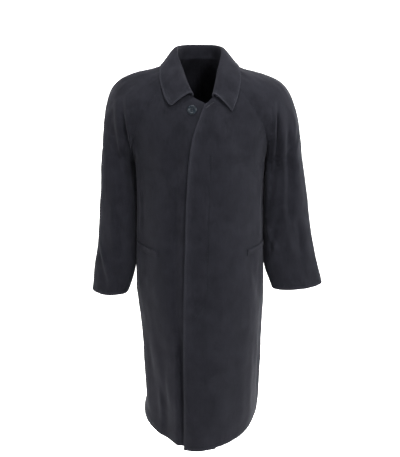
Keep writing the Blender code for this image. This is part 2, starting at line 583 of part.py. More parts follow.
def add_button(grid):
    """Four-hole turned button, seated on the under front."""
    x, z = BUTTON_PLACE
    flat = grid.reshape(-1, 3)
    near = np.argmin(np.hypot(flat[:, 0] - x, flat[:, 2] - z))
    normal = outward(grid).reshape(-1, 3)[near]
    normal = Vector(normal if normal[1] < 0 else -normal)
    slant = (flat[near, 0] - x) * normal.x + (flat[near, 2] - z) * normal.z
    height = float(slant / normal.y + flat[near, 1])
    seat = Vector((x, height, z)) + normal * (CLOTH / 2 + SEAM_GAP)
    radius = BUTTON_DIAMETER / 2
    points = [(across * radius, 0, up * BUTTON_THICK) for across, up in BUTTON_PROFILE]
    mesh = bpy.data.meshes.new("neck_button")
    mesh.from_pydata(points, [(i, i + 1) for i in range(len(points) - 1)], [])
    button = add_object("neck_button", mesh, 0, new_material("neck_button_horn", BUTTON_COLOUR, 0.22))
    turn = button.modifiers.new("turn", "SCREW")
    turn.steps = turn.render_steps = BUTTON_STEPS
    turn.use_merge_vertices = True
    turn.merge_threshold = 0.00001
    turn.use_normal_calculate = False
    for index in range(THREAD_HOLES):
        angle = math.tau * (index + 0.5) / THREAD_HOLES
        bpy.ops.mesh.primitive_cylinder_add(vertices=THREAD_HOLE_STEPS, radius=THREAD_HOLE_RADIUS,
                                            depth=BUTTON_THICK * 5)
        cutter = bpy.context.object
        cutter.name = "thread_hole_%d" % index
        for collection in list(cutter.users_collection):
            collection.objects.unlink(cutter)
        cutters.objects.link(cutter)
        cutter.parent = button
        cutter.location = (THREAD_HOLE_PLACE * math.cos(angle), THREAD_HOLE_PLACE * math.sin(angle), 0)
        cutter.hide_render = True
        cutter.display_type = "WIRE"
        cut = button.modifiers.new("hole", "BOOLEAN")
        cut.object = cutter
    side = normal.cross(Vector((0, 0, 1))).normalized()
    upward = side.cross(normal)
    turned = Matrix((side, -upward, normal)).transposed().to_4x4()
    button.matrix_world = Matrix.Translation(seat) @ turned


def between(grid, times):
    """The same faceted sheet with points between its own, along the rows and the columns."""
    for axis in (0, 1):
        place = np.linspace(0, grid.shape[axis] - 1, (grid.shape[axis] - 1) * times + 1)
        first = np.minimum(place.astype(int), grid.shape[axis] - 2)
        share = np.expand_dims(place - first, tuple(k for k in range(3) if k != axis))
        grid = np.take(grid, first, axis) * (1 - share) + np.take(grid, first + 1, axis) * share
    return grid


def build():
    panels = {}
    for side in SIDE_SIGN:
        for panel, columns in (("front", FRONT_COLUMNS), ("back", BACK_COLUMNS)):
            panels[panel, side] = torso_panel(side, panel, columns)
            panels["sleeve_" + panel, side] = sleeve_panel(side, panel)
        front, back = panels["front", side], panels["back", side]
        sleeve_front, sleeve_back = panels["sleeve_front", side], panels["sleeve_back", side]
        trim_seam(front[SKIRT_ROWS:], -1, sleeve_front[SLEEVE_ROWS:], 0)
        trim_seam(back[SKIRT_ROWS:], -1, sleeve_back[SLEEVE_ROWS:], 0)
        trim_seam(front[:SKIRT_ROWS], -1, back[:SKIRT_ROWS], -1)
        trim_seam(sleeve_front, -1, sleeve_back, -1)
        trim_seam(sleeve_front[:SLEEVE_ROWS], 0, sleeve_back[:SLEEVE_ROWS], 0)
    trim_seam(panels["back", "left"], 0, panels["back", "right"], 0)
    for (panel, side), grid in panels.items():
        flip = (side == "left") != (panel in ("front", "sleeve_front"))
        name = panel + "_" + side
        add_sheet(name, grid[:, ::-1] if flip else grid, CLOTH, cloth_material(name))
    add_sheet("collar", collar_grid(panels), COLLAR_CLOTH, cloth_material("collar"))
    for side in SIDE_SIGN:
        grid = welt_grid(side)
        name = "pocket_welt_" + side
        add_sheet(name, grid[:, ::-1] if side == "right" else grid, WELT_CLOTH, cloth_material(name))
    add_button(panels["front", "right"])


for old in list(bpy.data.objects):
    bpy.data.objects.remove(old)
coat = bpy.data.collections.new("raglan_overcoat")
cutters = bpy.data.collections.new("cutters")
for made in (coat, cutters):
    bpy.context.scene.collection.children.link(made)
build()
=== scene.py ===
# Navy wool overcoat with raglan sleeves, a fly front and a turn-down collar, filled out as worn.
# Metres, +Z up, the front faces -Y, the wearer's left is +X. Some tables are in millimetres and say so.
import math

import bpy
import numpy as np
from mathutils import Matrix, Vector


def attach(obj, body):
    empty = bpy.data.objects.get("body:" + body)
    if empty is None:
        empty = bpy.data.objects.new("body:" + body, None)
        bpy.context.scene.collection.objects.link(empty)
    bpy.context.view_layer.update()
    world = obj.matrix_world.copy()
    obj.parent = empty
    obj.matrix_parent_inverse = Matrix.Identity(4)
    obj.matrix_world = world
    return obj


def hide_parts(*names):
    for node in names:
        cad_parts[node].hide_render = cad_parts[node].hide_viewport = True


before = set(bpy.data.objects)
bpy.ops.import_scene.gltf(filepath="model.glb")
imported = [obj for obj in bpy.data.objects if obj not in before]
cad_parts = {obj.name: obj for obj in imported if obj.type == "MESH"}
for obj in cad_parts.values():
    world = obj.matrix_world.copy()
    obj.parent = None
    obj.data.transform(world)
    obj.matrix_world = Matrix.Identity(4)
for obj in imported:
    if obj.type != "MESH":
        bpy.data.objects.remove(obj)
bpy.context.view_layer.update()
print("frame loaded:", ", ".join(sorted(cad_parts)))

sideSign = {"left": 1.0, "right": -1.0}
lapName = {"left": "over", "right": "under"}
mm = 0.001


def smoothStep(value):
    # 3t^2 - 2t^3 between 0 and 1
    value = np.clip(value, 0.0, 1.0)
    return value * value * (3 - 2 * value)


def riseAndFall(place, rise, fall, end=1):
    # smoothStep(place / rise) * smoothStep((end - place) / fall)
    return smoothStep(place / rise) * smoothStep((end - place) / fall)


def bell(away, width):
    # exp(-(away / width)^2)
    return np.exp(-(away / width) ** 2)


def together(*parts):
    # the parts side by side along a new last axis, such as x, y and z
    return np.stack(np.broadcast_arrays(*parts), axis=-1)


def turns(count):
    # angles of even steps round a circle
    return np.linspace(0, math.tau, count, endpoint=False)


def readAlong(at, run, points):
    # each coordinate of a path's points at places along it, by straight lines between them
    return together(*(np.interp(at, run, column) for column in points.T))


def signedPower(value, power):
    # the power of the size, with the value's own sign
    return np.sign(value) * np.abs(value) ** power


def unit(vectors):
    # each vector over its length
    return vectors / np.maximum(np.linalg.norm(vectors, axis=-1, keepdims=True), 1e-12)


def normals(grid):
    # cross product of the grid's two directions
    return unit(np.cross(np.gradient(grid, axis=1), np.gradient(grid, axis=0)))


def outwardSign(grid, middle):
    # +1 where the grid's normals point away from the middle, -1 where they point to it
    return float(np.sign(((grid - middle) * normals(grid)).sum(axis=-1).mean()))


def outwardNormals(grid, middle):
    # the grid's normals, turned away from the middle
    return normals(grid) * outwardSign(grid, middle)


def tableCurve(data, column=1):
    # monotone cubic through one column over the first: harmonic-mean slopes, so it never overshoots
    data = data[np.argsort(data[:, 0])]
    x, y = data[:, 0], data[:, column]
    slope = np.diff(y) / np.diff(x)
    before, after = slope[:-1], slope[1:]
    same = before * after > 0
    inner = np.zeros_like(before)
    inner[same] = 2 * before[same] * after[same] / (before[same] + after[same])
    tangent = np.concatenate(([slope[0]], inner, [slope[-1]]))

    def at(value):
        # the cubic of the two rows that the value lies between
        value = np.clip(value, x[0], x[-1])
        i = np.clip(np.searchsorted(x, value) - 1, 0, len(x) - 2)
        width = x[i + 1] - x[i]
        s = (value - x[i]) / width
        return (y[i] * (1 + 2 * s) * (1 - s) ** 2 + y[i + 1] * s * s * (3 - 2 * s)
                + width * (tangent[i] * s * (1 - s) ** 2 - tangent[i + 1] * s * s * (1 - s)))

    return at


def curves(names, rows, units):
    # one curve over the first column for each of the others
    data = np.array(rows, float) * units
    return {name: tableCurve(data, column) for column, name in enumerate(names.split()) if column}


def smoothPath(points, count):
    # Catmull-Rom curve through a few points
    points = np.array(points, float)
    ends = np.concatenate([[2 * points[0] - points[1]], points, [2 * points[-1] - points[-2]]])
    place = np.linspace(0, len(points) - 1.000001, count)
    i = place.astype(int)
    t = (place - i)[:, None]
    a, b, c, d = (ends[i + k] for k in range(4))
    return 0.5 * (2 * b + (c - a) * t + (2 * a - 5 * b + 4 * c - d) * t ** 2
                  + (3 * b - a - 3 * c + d) * t ** 3)


def bezier(first, second, third, last, s):
    # cubic curve: sum of (1-s)^3, 3s(1-s)^2, 3s^2(1-s) and s^3 times the four points
    t = 1 - s
    return first * t ** 3 + second * 3 * s * t ** 2 + third * 3 * s * s * t + last * s ** 3


# how each crease, fold and patch of unevenness runs, in shares of its own length and width
reliefShape = {
    "creaseFade": 0.35,       # length over which both ends of a crease fade
    "creaseStart": 0.75, "creaseGain": 0.5,      # its width at the start and what it gains on the way
    "besideAt": 1.9, "besideWidth": 1.3, "besideDepth": 0.45,      # the opposite swell beside it
    "foldRise": 0.45, "foldFall": 0.4, "foldEnd": 1.25, "sleeveFoldFade": 0.3,
    "waves": 14, "waveCalm": 2.2,
}


def unevenness(a, b, seed, patch):
    # height times a sum of sine waves in chance directions, wavelengths between two sizes, about -1 to 1
    height, longest, shortest = patch
    waves = reliefShape["waves"]
    chance = np.random.default_rng(seed)
    total = np.zeros(np.broadcast(a, b).shape)
    for wave in range(waves):
        length = longest * (shortest / longest) ** (wave / (waves - 1))
        turn, phase = chance.uniform(0, math.tau, 2)
        total += np.sin(math.tau / length * (a * math.cos(turn) + b * math.sin(turn)) + phase) * length
    return height * total / (longest * reliefShape["waveCalm"])


def creaseField(a, b, creases, beside=reliefShape["besideDepth"]):
    # rows in mm: a and b of the start, a and b of the end, bow, depth, width. Each crease is a bowed line
    # whose section is a trough or ridge exp(-(d/w)^2) with a shallower opposite swell beside it; it fades
    # out at both ends
    total = np.zeros(np.broadcast(a, b).shape)
    for startA, startB, endA, endB, bow, depth, width in np.array(creases) * mm:
        wayA, wayB = endA - startA, endB - startB
        length = math.hypot(wayA, wayB)
        along = ((a - startA) * wayA + (b - startB) * wayB) / length ** 2
        inside = np.clip(along, 0, 1)
        off = ((b - startB) * wayA - (a - startA) * wayB) / length - bow * 4 * inside * (1 - inside)
        ends = riseAndFall(along, reliefShape["creaseFade"], reliefShape["creaseFade"])
        width = width * (reliefShape["creaseStart"] + reliefShape["creaseGain"] * inside)
        swell = bell(off - reliefShape["besideAt"] * width, reliefShape["besideWidth"] * width)
        total += depth * ends * (bell(off, width) - beside * swell)
    return total


# the half-round edge: degrees round it, and how clear of it the even steps keep
rimSteps = {"degrees": (0, 28, 52, 74, 90), "clear": 1.5}


def spread(length, step, rim, nearBands=(), farBands=()):
    # even steps along a length, with a few more at each end for the half-round edge and finer ones in bands
    even = np.linspace(0, 1, max(int(round(length / step)), 2) + 1)
    close = rim * (1 - np.cos(np.radians(rimSteps["degrees"]))) / length
    for bands, turned in ((nearBands, False), (farBands, True)):
        for start, stop, fine in bands:
            added = np.arange(start, stop, fine) / length
            added = 1 - added if turned else added
            even = even[(even < added.min() - fine / length) | (even > added.max() + fine / length)]
            even = np.sort(np.concatenate([even, added]))
    clear = close[-1] * rimSteps["clear"]
    even = even[(even > clear) & (even < 1 - clear)]
    return np.concatenate([close, even, 1 - close[::-1]])


def twoPartRows(lowLength, rim):
    # row places from 0 at the foot to 1 at the underarm and 2 at the neck
    step, highLength = torso["rowStep"], torso["yokeLength"]
    low, high = spread(lowLength, step, rim), spread(highLength, step, rim)
    low, high = low[low < 1 - step / lowLength / 2], high[high > step / highLength / 2]
    return np.concatenate([low, [1.0], 1 + high])


# the body: rings by height, cut by angle into two fronts and two backs
torso = {
    "cloth": 0.0025,
    "seamGap": -0.00006,      # sewn edges press into each other a little
    "seamPress": 0.84,        # share of the walls' room that a turned seam keeps
    "seamBend": 0.24,         # turn across a seam that the cloth's own curve explains
    "seamTurnMost": 100,      # degrees
    "seamReach": 0.008,       # how far in a seam's direction is read
    "seamFade": 0.006,
    "clear": 0.0003,          # air under what lies on a panel
    "underarmZ": -0.290, "hemZ": -1.180, "hemFrontDrop": 0.025, "hemBackDrop": 0.0075,
    "lapStep": 0.0023, "lapReach": 0.065, "lapFade": 0.055, "lapSeamFade": 0.4,
    "yokeLength": 0.27,       # underarm to neck, along the cloth
    "panelWidth": 0.33,
    "rowStep": 0.0062, "columnStep": 0.0036,      # size of the mesh's quads, on the sleeves too
    # mm: height, half widths to the wearer's left and right, depths to front and back; then squareness
    "rings": (
        (30, 70, 70, 30, 83, 2.15), (18, 85, 85, 36, 90, 2.15), (5, 106, 110, 49, 100, 2.15),
        (-4, 125, 132, 58, 107, 2.15), (-13, 150, 160, 67, 114, 2.15), (-22, 182, 192, 77, 120, 2.15),
        (-34, 212, 218, 89, 128, 2.15), (-50, 238, 240, 102, 136, 2.15), (-70, 250, 251, 114, 143, 2.15),
        (-95, 252, 252, 128, 150, 2.15), (-120, 249, 248, 141, 155, 2.15), (-150, 242, 240, 152, 160, 2.15),
        (-200, 226, 224, 164, 164, 2.15), (-250, 212, 211, 171, 166, 2.15),
        (-290, 203.5, 203, 175, 167, 2.15), (-400, 202.5, 201, 185, 168, 2.15),
        (-520, 205.5, 205, 195, 171, 2.15), (-620, 208, 209.5, 202, 176, 2.13),
        (-700, 211.5, 210, 207, 181, 2.1), (-750, 212.5, 205, 210, 184, 2.08),
        (-800, 211, 199, 212, 186, 2.05), (-880, 210, 193.5, 216, 189, 2.02),
        (-980, 209.5, 190.5, 219, 193, 1.98), (-1080, 208, 188, 222, 197, 1.93),
        (-1130, 207, 189.5, 222, 199, 1.9), (-1165, 204, 196, 222, 200, 1.87),
        (-1210, 197, 196, 222, 200, 1.84),
    ),
    # mm: height, then the left and the right front's edge from the centre towards its own side
    "edges": (
        (-60, 30, -24), (-103, 13, -30), (-134, 0, -33), (-194, -21, -38), (-246, -30, -41),
        (-307, -35, -44), (-391, -40, -46), (-490, -43, -48), (-688, -48, -50), (-1205, -53, -52),
    ),
    # mm: height, then the raglan seam from the centre, on the front and on the back
    "raglan": (
        (30, 50, 50), (18, 58, 58), (-12, 75, 80), (-40, 98, 99), (-60, 115, 112), (-90, 138, 131),
        (-123, 161, 151), (-155, 180, 170), (-200, 198, 191), (-245, 205.5, 203),
    ),
    # from the centre edge (0) to the raglan seam (1): the neck seam's height on left front, right front
    # and back, in mm
    "neck": (
        (0, -103, -107, 20), (0.12, -83, -95, 20), (0.26, -69, -81.5, 19.9), (0.45, -51, -61, 19.6),
        (0.7, -31, -34.5, 19), (1, -12, -12, 18),
    ),
    # soft folds: degrees round the ring (0 front, 90 left), lean in degrees on the way down, then top, foot
    # and swell in mm, and the width in degrees
    "folds": (
        (-24, 1, -780, -1230, 6, 7), (-19, 1, -820, -1230, -3.5, 5), (-48, 13, -880, -1230, -4.2, 9),
        (-60, 22, -560, -900, -3.4, 9), (-74, 6, -600, -1230, 4.5, 11), (58, 18, -560, -900, -3.4, 9),
        (40, -4, -760, -1230, 4, 13), (76, -4, -820, -1230, -4.5, 11), (32, 2, -300, -640, 2.5, 13),
        (-34, -2, -320, -700, 2.5, 14), (118, 2, -600, -1230, 6, 15), (148, -4, -560, -1230, -7, 14),
        (168, -3, -700, -1230, 6, 10), (-166, 3, -640, -1230, 6.5, 12), (-142, 5, -540, -1230, -7, 14),
        (-116, -3, -620, -1230, 5.5, 13),
    ),
    # creases in mm: a is round the body from the middle of the front (the wearer's left is +), b the height
    "creases": (
        (-147, -560, -206, -690, -4, -1.3, 15), (150, -570, 226, -730, 4, -1.2, 15),
        (-190, -580, -176, -790, 8, 0.9, 16), (-216, -330, -213, -570, 0, 2, 12),
        (216, -330, 214, -570, 0, 1.6, 13), (-24, -130, -62, -345, -10, -5.8, 12),
        (-62, -280, -66, -950, 0, -4.6, 12), (-285, -300, -165, -225, 10, -1, 12),
        (285, -300, 170, -235, -10, -1, 12), (-275, -345, -190, -330, 8, -1, 13),
        (280, -350, 195, -325, -8, -1, 13), (-45, -135, -110, -230, 8, 1.2, 12),
        (40, -165, 105, -270, -6, 1.2, 14), (14, -672, -30, -752, -4, -1.8, 7),
        (60, -715, 26, -830, 6, 1, 14), (-56, -740, -58, -1260, 0, -6, 13),
        (-76, -770, -80, -1260, 2, 4, 8), (-128, -860, -130, -1210, 4, -2.2, 14),
        (-160, -980, -150, -1230, 6, 1.8, 10), (-200, -840, -185, -1200, 8, -1.4, 18),
        (-240, -760, -225, -1170, 8, 1, 20), (110, -900, 128, -1200, -8, -1.6, 16),
        (175, -840, 190, -1190, -8, 2.2, 16), (230, -780, 245, -1180, 6, -2.6, 14),
    ),
    # the back's own: from the arms to the middle, the waist, and the skirt
    "backCreases": (
        (300, -310, 430, -250, -12, -2.8, 13), (-300, -305, -440, -240, 12, -3, 13),
        (320, -390, 450, -375, -10, -2, 15), (-330, -400, -455, -360, 10, -2.2, 15),
        (420, -470, 560, -500, 10, 1.8, 16), (-400, -520, -545, -480, -8, -2, 14),
        (370, -620, 400, -1150, -12, -3.4, 16), (-380, -660, -400, -1180, 12, 3.2, 18),
        (480, -720, 495, -1190, 10, 3.4, 17), (-490, -700, -520, -1190, -10, -3.6, 16),
        (560, -800, 570, -1200, 6, -2.4, 14),
    ),
    "meanRadius": 0.195, "strength": 1.3, "backStrength": 2.7,
    "patch": (0.0010, 0.120, 0.022),     # fine unevenness: height, longest and shortest wave
    "patchSeed": 11, "patchStretch": 0.45,
}
front = {
    # the fly's stitching on the left front, x and height in mm, down to where it turns out to the edge
    "flyLine": (
        (29.8, -246), (28.2, -300), (25.8, -360), (23.5, -435), (22.8, -510), (21.5, -583), (20.5, -640),
        (16.5, -672), (8, -694), (-4, -716), (-19, -736), (-40, -750),
    ),
    "flyDepth": 0.0015, "flyWidth": 0.0019, "flySteps": 60, "flyStitchSteps": 220,
    "edgeStitch": 0.0062,
    "edgeLift": 0.0042, "edgePlace": 0.0045, "edgeWidth": 0.0110,     # soft rise along the left edge
    "fineBands": ((0.0, 0.0105, 0.0009), (0.055, 0.075, 0.0011)),     # from the edge: start, end, step
}
ringCurves = curves("z left right front back power", torso["rings"], (mm, mm, mm, mm, mm, 1))
edgeCurves = curves("z over under", torso["edges"], mm)
neckCurves = curves("across over under back", torso["neck"], (1, mm, mm, mm))


def angleAt(side, x, z):
    # angle round the ring of a place x from the centre: sin(angle)^(2/p) = x / half width
    return np.arcsin(np.clip(signedPower(x / ringCurves[side](z), ringCurves["power"](z) / 2), -1, 1))


def edgeAngle(side, z):
    # angle of the front edge at each height
    return angleAt(side, edgeCurves[lapName[side]](z), z)


def seamAngle(side, panel):
    # curve of the raglan seam's angle over the height, a quarter turn at the underarm
    z, frontX, backX = np.array(torso["raglan"]).T * mm
    angles = angleAt(side, frontX if panel == "front" else backX, z)
    return tableCurve(np.vstack([[torso["underarmZ"], math.pi / 2], together(z, angles)]))


def foldWave(angleDegrees, z):
    # soft folds: height * swell along the fold * exp(-(angle away / width)^2)
    wave = np.zeros(np.broadcast(angleDegrees, z).shape)
    for angle, lean, top, foot, height, width in np.array(torso["folds"]) * (1, 1, mm, mm, mm, 1):
        down = (top - z) / (top - foot)
        swell = riseAndFall(down, *(reliefShape[name] for name in ("foldRise", "foldFall", "foldEnd")))
        away = (angleDegrees - angle - lean * down + 180) % 360 - 180
        wave = wave + height * swell * bell(away, width)
    return wave


def ring(side, z, angle):
    # superellipse: x = w sin^(2/p), y = -d cos^(2/p), with the folds added to w and d
    depth = np.where(np.abs(angle) <= math.pi / 2, ringCurves["front"](z), ringCurves["back"](z))
    wave = foldWave(sideSign[side] * np.degrees(angle), z)
    power = 2 / ringCurves["power"](z)
    x = (ringCurves[side](z) + wave) * signedPower(np.sin(angle), power)
    y = -(depth + wave) * signedPower(np.cos(angle), power)
    return together(sideSign[side] * x, y, z)


def torsoPanel(side, panel):
    # z blends hem, underarm and neck lines by row; the angle blends the centre edge and the seam by column
    name = lapName[side] if panel == "front" else "back"
    rim = torso["cloth"] / 2
    level = twoPartRows(torso["underarmZ"] - torso["hemZ"], rim)[:, None]
    bands = front["fineBands"] if panel == "front" else ()
    across = spread(torso["panelWidth"], torso["columnStep"], rim, bands)[None, :]
    skirt, yoke = np.clip(level, 0, 1), np.clip(level - 1, 0, 1)
    drop = torso["hemFrontDrop"] if panel == "front" else torso["hemBackDrop"]
    hem = torso["hemZ"] - drop * np.cos(across * math.pi / 2) ** 3
    z = hem + (torso["underarmZ"] - hem) * skirt + (neckCurves[name](across) - torso["underarmZ"]) * yoke
    seam = np.where(z > torso["underarmZ"], seamAngle(side, panel)(z), math.pi / 2)
    if panel == "front":
        edge = edgeAngle(side, z)
        angle = edge + (seam - edge) * across
    else:
        angle = math.pi - seam * across
    grid = ring(side, z, angle)
    if panel == "front":
        lap = smoothStep((torso["lapReach"] + torso["lapFade"] - np.abs(grid[..., 0])) / torso["lapFade"])
        lap = lap * smoothStep((1 - across) / torso["lapSeamFade"])
        grid[..., 1] -= sideSign[side] * torso["lapStep"] * lap
    # creases and unevenness, for relieve
    a = sideSign[side] * angle * torso["meanRadius"]
    relief = (torso["strength"] * creaseField(a, z, torso["creases"])
              + torso["backStrength"] * creaseField(a, z, torso["backCreases"])
              + unevenness(a, z * torso["patchStretch"], torso["patchSeed"], torso["patch"]))
    if name == "over":
        away = borderDistance(grid)["near"] - front["edgePlace"]
        relief = relief + front["edgeLift"] * bell(away, front["edgeWidth"])
    held = ("head", "far") if panel == "front" else ("head", "far", "near")
    return {"grid": grid, "middle": grid * (0, 0, 1), "level": level[:, 0], "across": across[0],
            "relief": relief, "held": held}


# the sleeves: rows of cubic curves from the inner or raglan seam to the overarm seam
sleeves = {
    "foldStandOff": 0.0036,      # the seam edge stands off the torso under the arm
    "foldReach": 0.50,
    "cuffDrop": 0.006, "cuffReach": 0.15,
    "length": 0.42, "width": 0.19,      # cuff to underarm and across a half, for the mesh's steps
    # from the underarm (0) to the neck (1), in mm: overarm seam of left and right, its y, then the two
    # handles of the front half's curves and of the back half's
    "yokeNames": "up leftX leftZ rightX rightZ y "
                 "startX startY startZ endY endZ backX backY backZ lastY lastZ",
    "yoke": (
        (0, 314.5, -235, 302, -235, 0, 0, -108, 6, -112, 0, 0, 100, 6, 104, 0),
        (0.18, 307, -190, 297, -190, 0, 12, -60, 4, -96, 0, 12, 56, 4, 92, 0),
        (0.36, 296.5, -143, 291.5, -143, 0, 32, -22, 4, -80, 0, 30, 20, 4, 78, 0),
        (0.54, 279, -90, 278.5, -86, 1, 42, -3, 4, -66, 0, 40, 4, 4, 66, 0),
        (0.7, 247, -49, 251, -46, 2, 40, 6, 6, -54, -1, 38, 0, 8, 54, -1),
        (0.84, 193, -24, 201, -21, 3, 28, 14, 12, -40, -2, 28, -8, 12, 40, -1),
        (0.93, 134, -9, 142, -8, 4, 14, 18, 13, -28, -3, 14, -14, 6, 30, 0),
        (1, 83, 11.5, 84.5, 11.5, 5, 5, 18, 8, -20, -4, 10, -18, 0, 21, 2.5),
    ),
    # from the cuff (0) to the underarm (1), in mm: inner and outer seams, fullness to front and back
    "rowNames": "up innerX innerZ innerY outerX outerZ outerY front back",
    "rows": {
        "left": (
            (0, 237, -699, -46, 402, -688, -30, 34, 34), (0.06, 228, -676, -46, 397, -668, -30, 37, 37),
            (0.16, 214, -631, -46, 385, -628, -29, 43, 42),
            (0.34, 207.5, -555, -43, 365, -550, -26, 50, 51),
            (0.56, 205, -462, -36, 347.5, -450, -21, 58, 62),
            (0.78, 204.5, -370, -24, 331, -345, -13, 68, 72), (0.92, 207, -315, -10, 321, -280, -5, 78, 77),
            (1, 207.1, -289, 0, 314.5, -235, 0, 84, 79),
        ),
        "right": (
            (0, 236, -709, -46, 354.5, -707, -32, 47, 46),
            (0.06, 227.5, -690, -46, 351.5, -686, -32, 48, 47),
            (0.16, 216, -647, -46, 345.5, -637, -30, 50, 49),
            (0.34, 209, -570, -43, 331, -555, -27, 53, 54),
            (0.56, 205, -470, -36, 319.5, -450, -22, 59, 62),
            (0.78, 204, -372, -24, 311.5, -345, -13, 69, 71),
            (0.92, 206.5, -315, -10, 307, -280, -5, 78, 76), (1, 206.6, -289, 0, 302, -235, 0, 84, 79),
        ),
    },
    # soft folds: place from the inner (0) to the outer seam (1) at top and foot, the rows that it spans,
    # height and width
    "folds": {
        ("left", "front"): (
            (0.74, 0.62, 1.55, 0.4, 0.0035, 0.1), (0.52, 0.46, 1.45, 0.45, -0.005, 0.08),
            (0.24, 0.22, 1.25, 0.05, 0.003, 0.1),
        ),
        ("left", "back"): (
            (0.5, 0.42, 1.4, 0.3, -0.005, 0.12), (0.75, 0.66, 1.3, 0.2, 0.0035, 0.11),
        ),
        ("right", "front"): (
            (0.72, 0.8, 1.55, 0.5, 0.0035, 0.11), (0.44, 0.34, 1.45, 0.5, -0.0055, 0.09),
            (0.62, 0.3, 0.42, -0.1, -0.004, 0.09),
        ),
        ("right", "back"): (
            (0.48, 0.4, 1.4, 0.3, -0.005, 0.12), (0.76, 0.7, 1.3, 0.2, 0.0035, 0.11),
        ),
    },
    # creases in mm: a runs across the half from the inner seam to the overarm seam (about 190),
    # b from the cuff by the underarm (420) to the neck (720)
    "creases": {
        ("left", "front"): (
            (28, 235, 56, 130, 2, 5, 8), (34, 115, 74, 270, 4, -5.5, 8), (104, 120, 95, 290, 1, 2.4, 9),
            (126, 270, 139, 70, 2, -4.2, 10), (130, 560, 125, 380, -6, -2, 13),
        ),
        ("left", "back"): (
            (40, 450, 120, 380, 6, -3, 9), (30, 380, 125, 300, 10, 2.4, 10),
            (60, 270, 135, 235, -8, -2.6, 9), (50, 230, 120, 185, -6, 2, 10),
            (80, 180, 90, 30, 5, -2.4, 11),
        ),
        ("right", "front"): (
            (95, 340, 62, 100, -4, -5.5, 10), (66, 310, 40, 110, -4, 3, 9), (160, 195, 72, 5, -6, 4.8, 8),
            (135, 150, 50, 15, -4, -2.6, 10), (40, 290, 115, 235, -6, -1.4, 10),
        ),
        ("right", "back"): (
            (40, 455, 120, 370, 6, -3.2, 9), (50, 340, 130, 290, 8, 2.4, 10),
            (55, 265, 130, 240, -6, -2.6, 9), (70, 190, 85, 40, 4, -2.2, 11),
        ),
    },
    "strength": 1.25,
    "seeds": {("left", "front"): 23, ("left", "back"): 24, ("right", "front"): 25, ("right", "back"): 26},
    "patch": (0.0011, 0.090, 0.018), "patchStretch": 0.5,
}
yokeCurves = curves(sleeves["yokeNames"], sleeves["yoke"], (1,) + (mm,) * 15)
sleeveCurves = {side: curves(sleeves["rowNames"], rows, (1,) + (mm,) * 8)
                for side, rows in sleeves["rows"].items()}


def yokeEnds(side, panel, up):
    # the four points' rows above the underarm: raglan seam, two handles, overarm seam
    get = {name: curve(up) for name, curve in yokeCurves.items()}
    neck = neckCurves["back" if panel == "back" else "over"](1.0)
    z = torso["underarmZ"] + (neck - torso["underarmZ"]) * up
    angle = seamAngle(side, panel)(z)
    if panel == "back":
        angle = math.pi - angle
    fold = sleeves["foldStandOff"] * (1 - smoothStep(up / sleeves["foldReach"]))
    away = together(np.sin(angle), -np.cos(angle), 0) * fold[:, None]
    seam = ring(side, z, angle) * (sideSign[side], 1, 1) + away
    outer = together(get[side + "X"], get["y"], get[side + "Z"])
    names = ("start", "end") if panel == "front" else ("back", "last")
    start, end = (together(*(get.get(name + axis, 0 * up) for axis in "XYZ")) for name in names)
    return seam, start, end, outer


def sleeveEnds(side, panel, up):
    # the same below the underarm: the handles reach 4/3 of the fullness to front or back
    get = {name: curve(up) for name, curve in sleeveCurves[side].items()}
    inner, outer = (together(*(get[name + axis] for axis in "XYZ")) for name in ("inner", "outer"))
    handle = together(0, get[panel] * 4 / 3 * (-1 if panel == "front" else 1), 0)
    return inner, handle, handle, outer


def sleevePanel(side, panel):
    # a cubic curve for each row, the cuff's drop, then folds: height * swell * bell of s - place
    rim = torso["cloth"] / 2
    level = twoPartRows(sleeves["length"], rim)
    s = spread(sleeves["width"], torso["columnStep"], rim)[None, :, None]
    low = sleeveEnds(side, panel, level[level <= 1])
    top = yokeEnds(side, panel, level[level > 1] - 1)
    first, start, end, last = (np.concatenate([a, b])[:, None, :] for a, b in zip(low, top))
    grid = bezier(first, first + start, last + end, last, s)
    s, level = s[..., 0], level[:, None]
    if panel == "front":
        cuff = 1 - smoothStep(level / sleeves["cuffReach"])
        grid[..., 2] -= sleeves["cuffDrop"] * np.sin(s * math.pi) * cuff
    away = grid - (grid[:, :1] + grid[:, -1:]) / 2
    away[..., 2] = 0
    for placeTop, placeFoot, top, foot, height, width in sleeves["folds"][side, panel]:
        down = (top - level) / (top - foot)
        swell = riseAndFall(down, reliefShape["sleeveFoldFade"], reliefShape["sleeveFoldFade"])
        place = placeTop + (placeFoot - placeTop) * down
        grid = grid + unit(away) * (height * swell * bell(s - place, width))[..., None]
    grid[..., 0] *= sideSign[side]
    a, b = (borderDistance(grid)[border] for border in ("near", "foot"))
    patches = unevenness(a, b * sleeves["patchStretch"], sleeves["seeds"][side, panel], sleeves["patch"])
    relief = sleeves["strength"] * creaseField(a, b, sleeves["creases"][side, panel]) + patches
    return {"grid": grid, "middle": (grid[:, :1] + grid[:, -1:]) / 2, "level": level[:, 0],
            "relief": relief, "held": ("head", "near", "far")}


def borderDistance(grid):
    # length along the columns and the rows to each of the four borders, in metres
    down = np.linalg.norm(np.diff(grid, axis=0), axis=-1)
    across = np.linalg.norm(np.diff(grid, axis=1), axis=-1)
    foot = np.pad(np.cumsum(down, axis=0), ((1, 0), (0, 0)))
    near = np.pad(np.cumsum(across, axis=1), ((0, 0), (1, 0)))
    return {"foot": foot, "head": foot[-1:] - foot, "near": near, "far": near[:, -1:] - near}


def relieve(sheet, reach=0.013):
    # push the sheet out along its normals by its relief, easing to nothing near the borders it is held by
    distance = borderDistance(sheet["grid"])
    ease = np.ones(sheet["relief"].shape)
    for border in sheet["held"]:
        ease = ease * smoothStep(distance[border] / reach)
    normal = outwardNormals(sheet["grid"], sheet["middle"])
    sheet["grid"] = sheet["grid"] + normal * (sheet["relief"] * ease)[..., None]


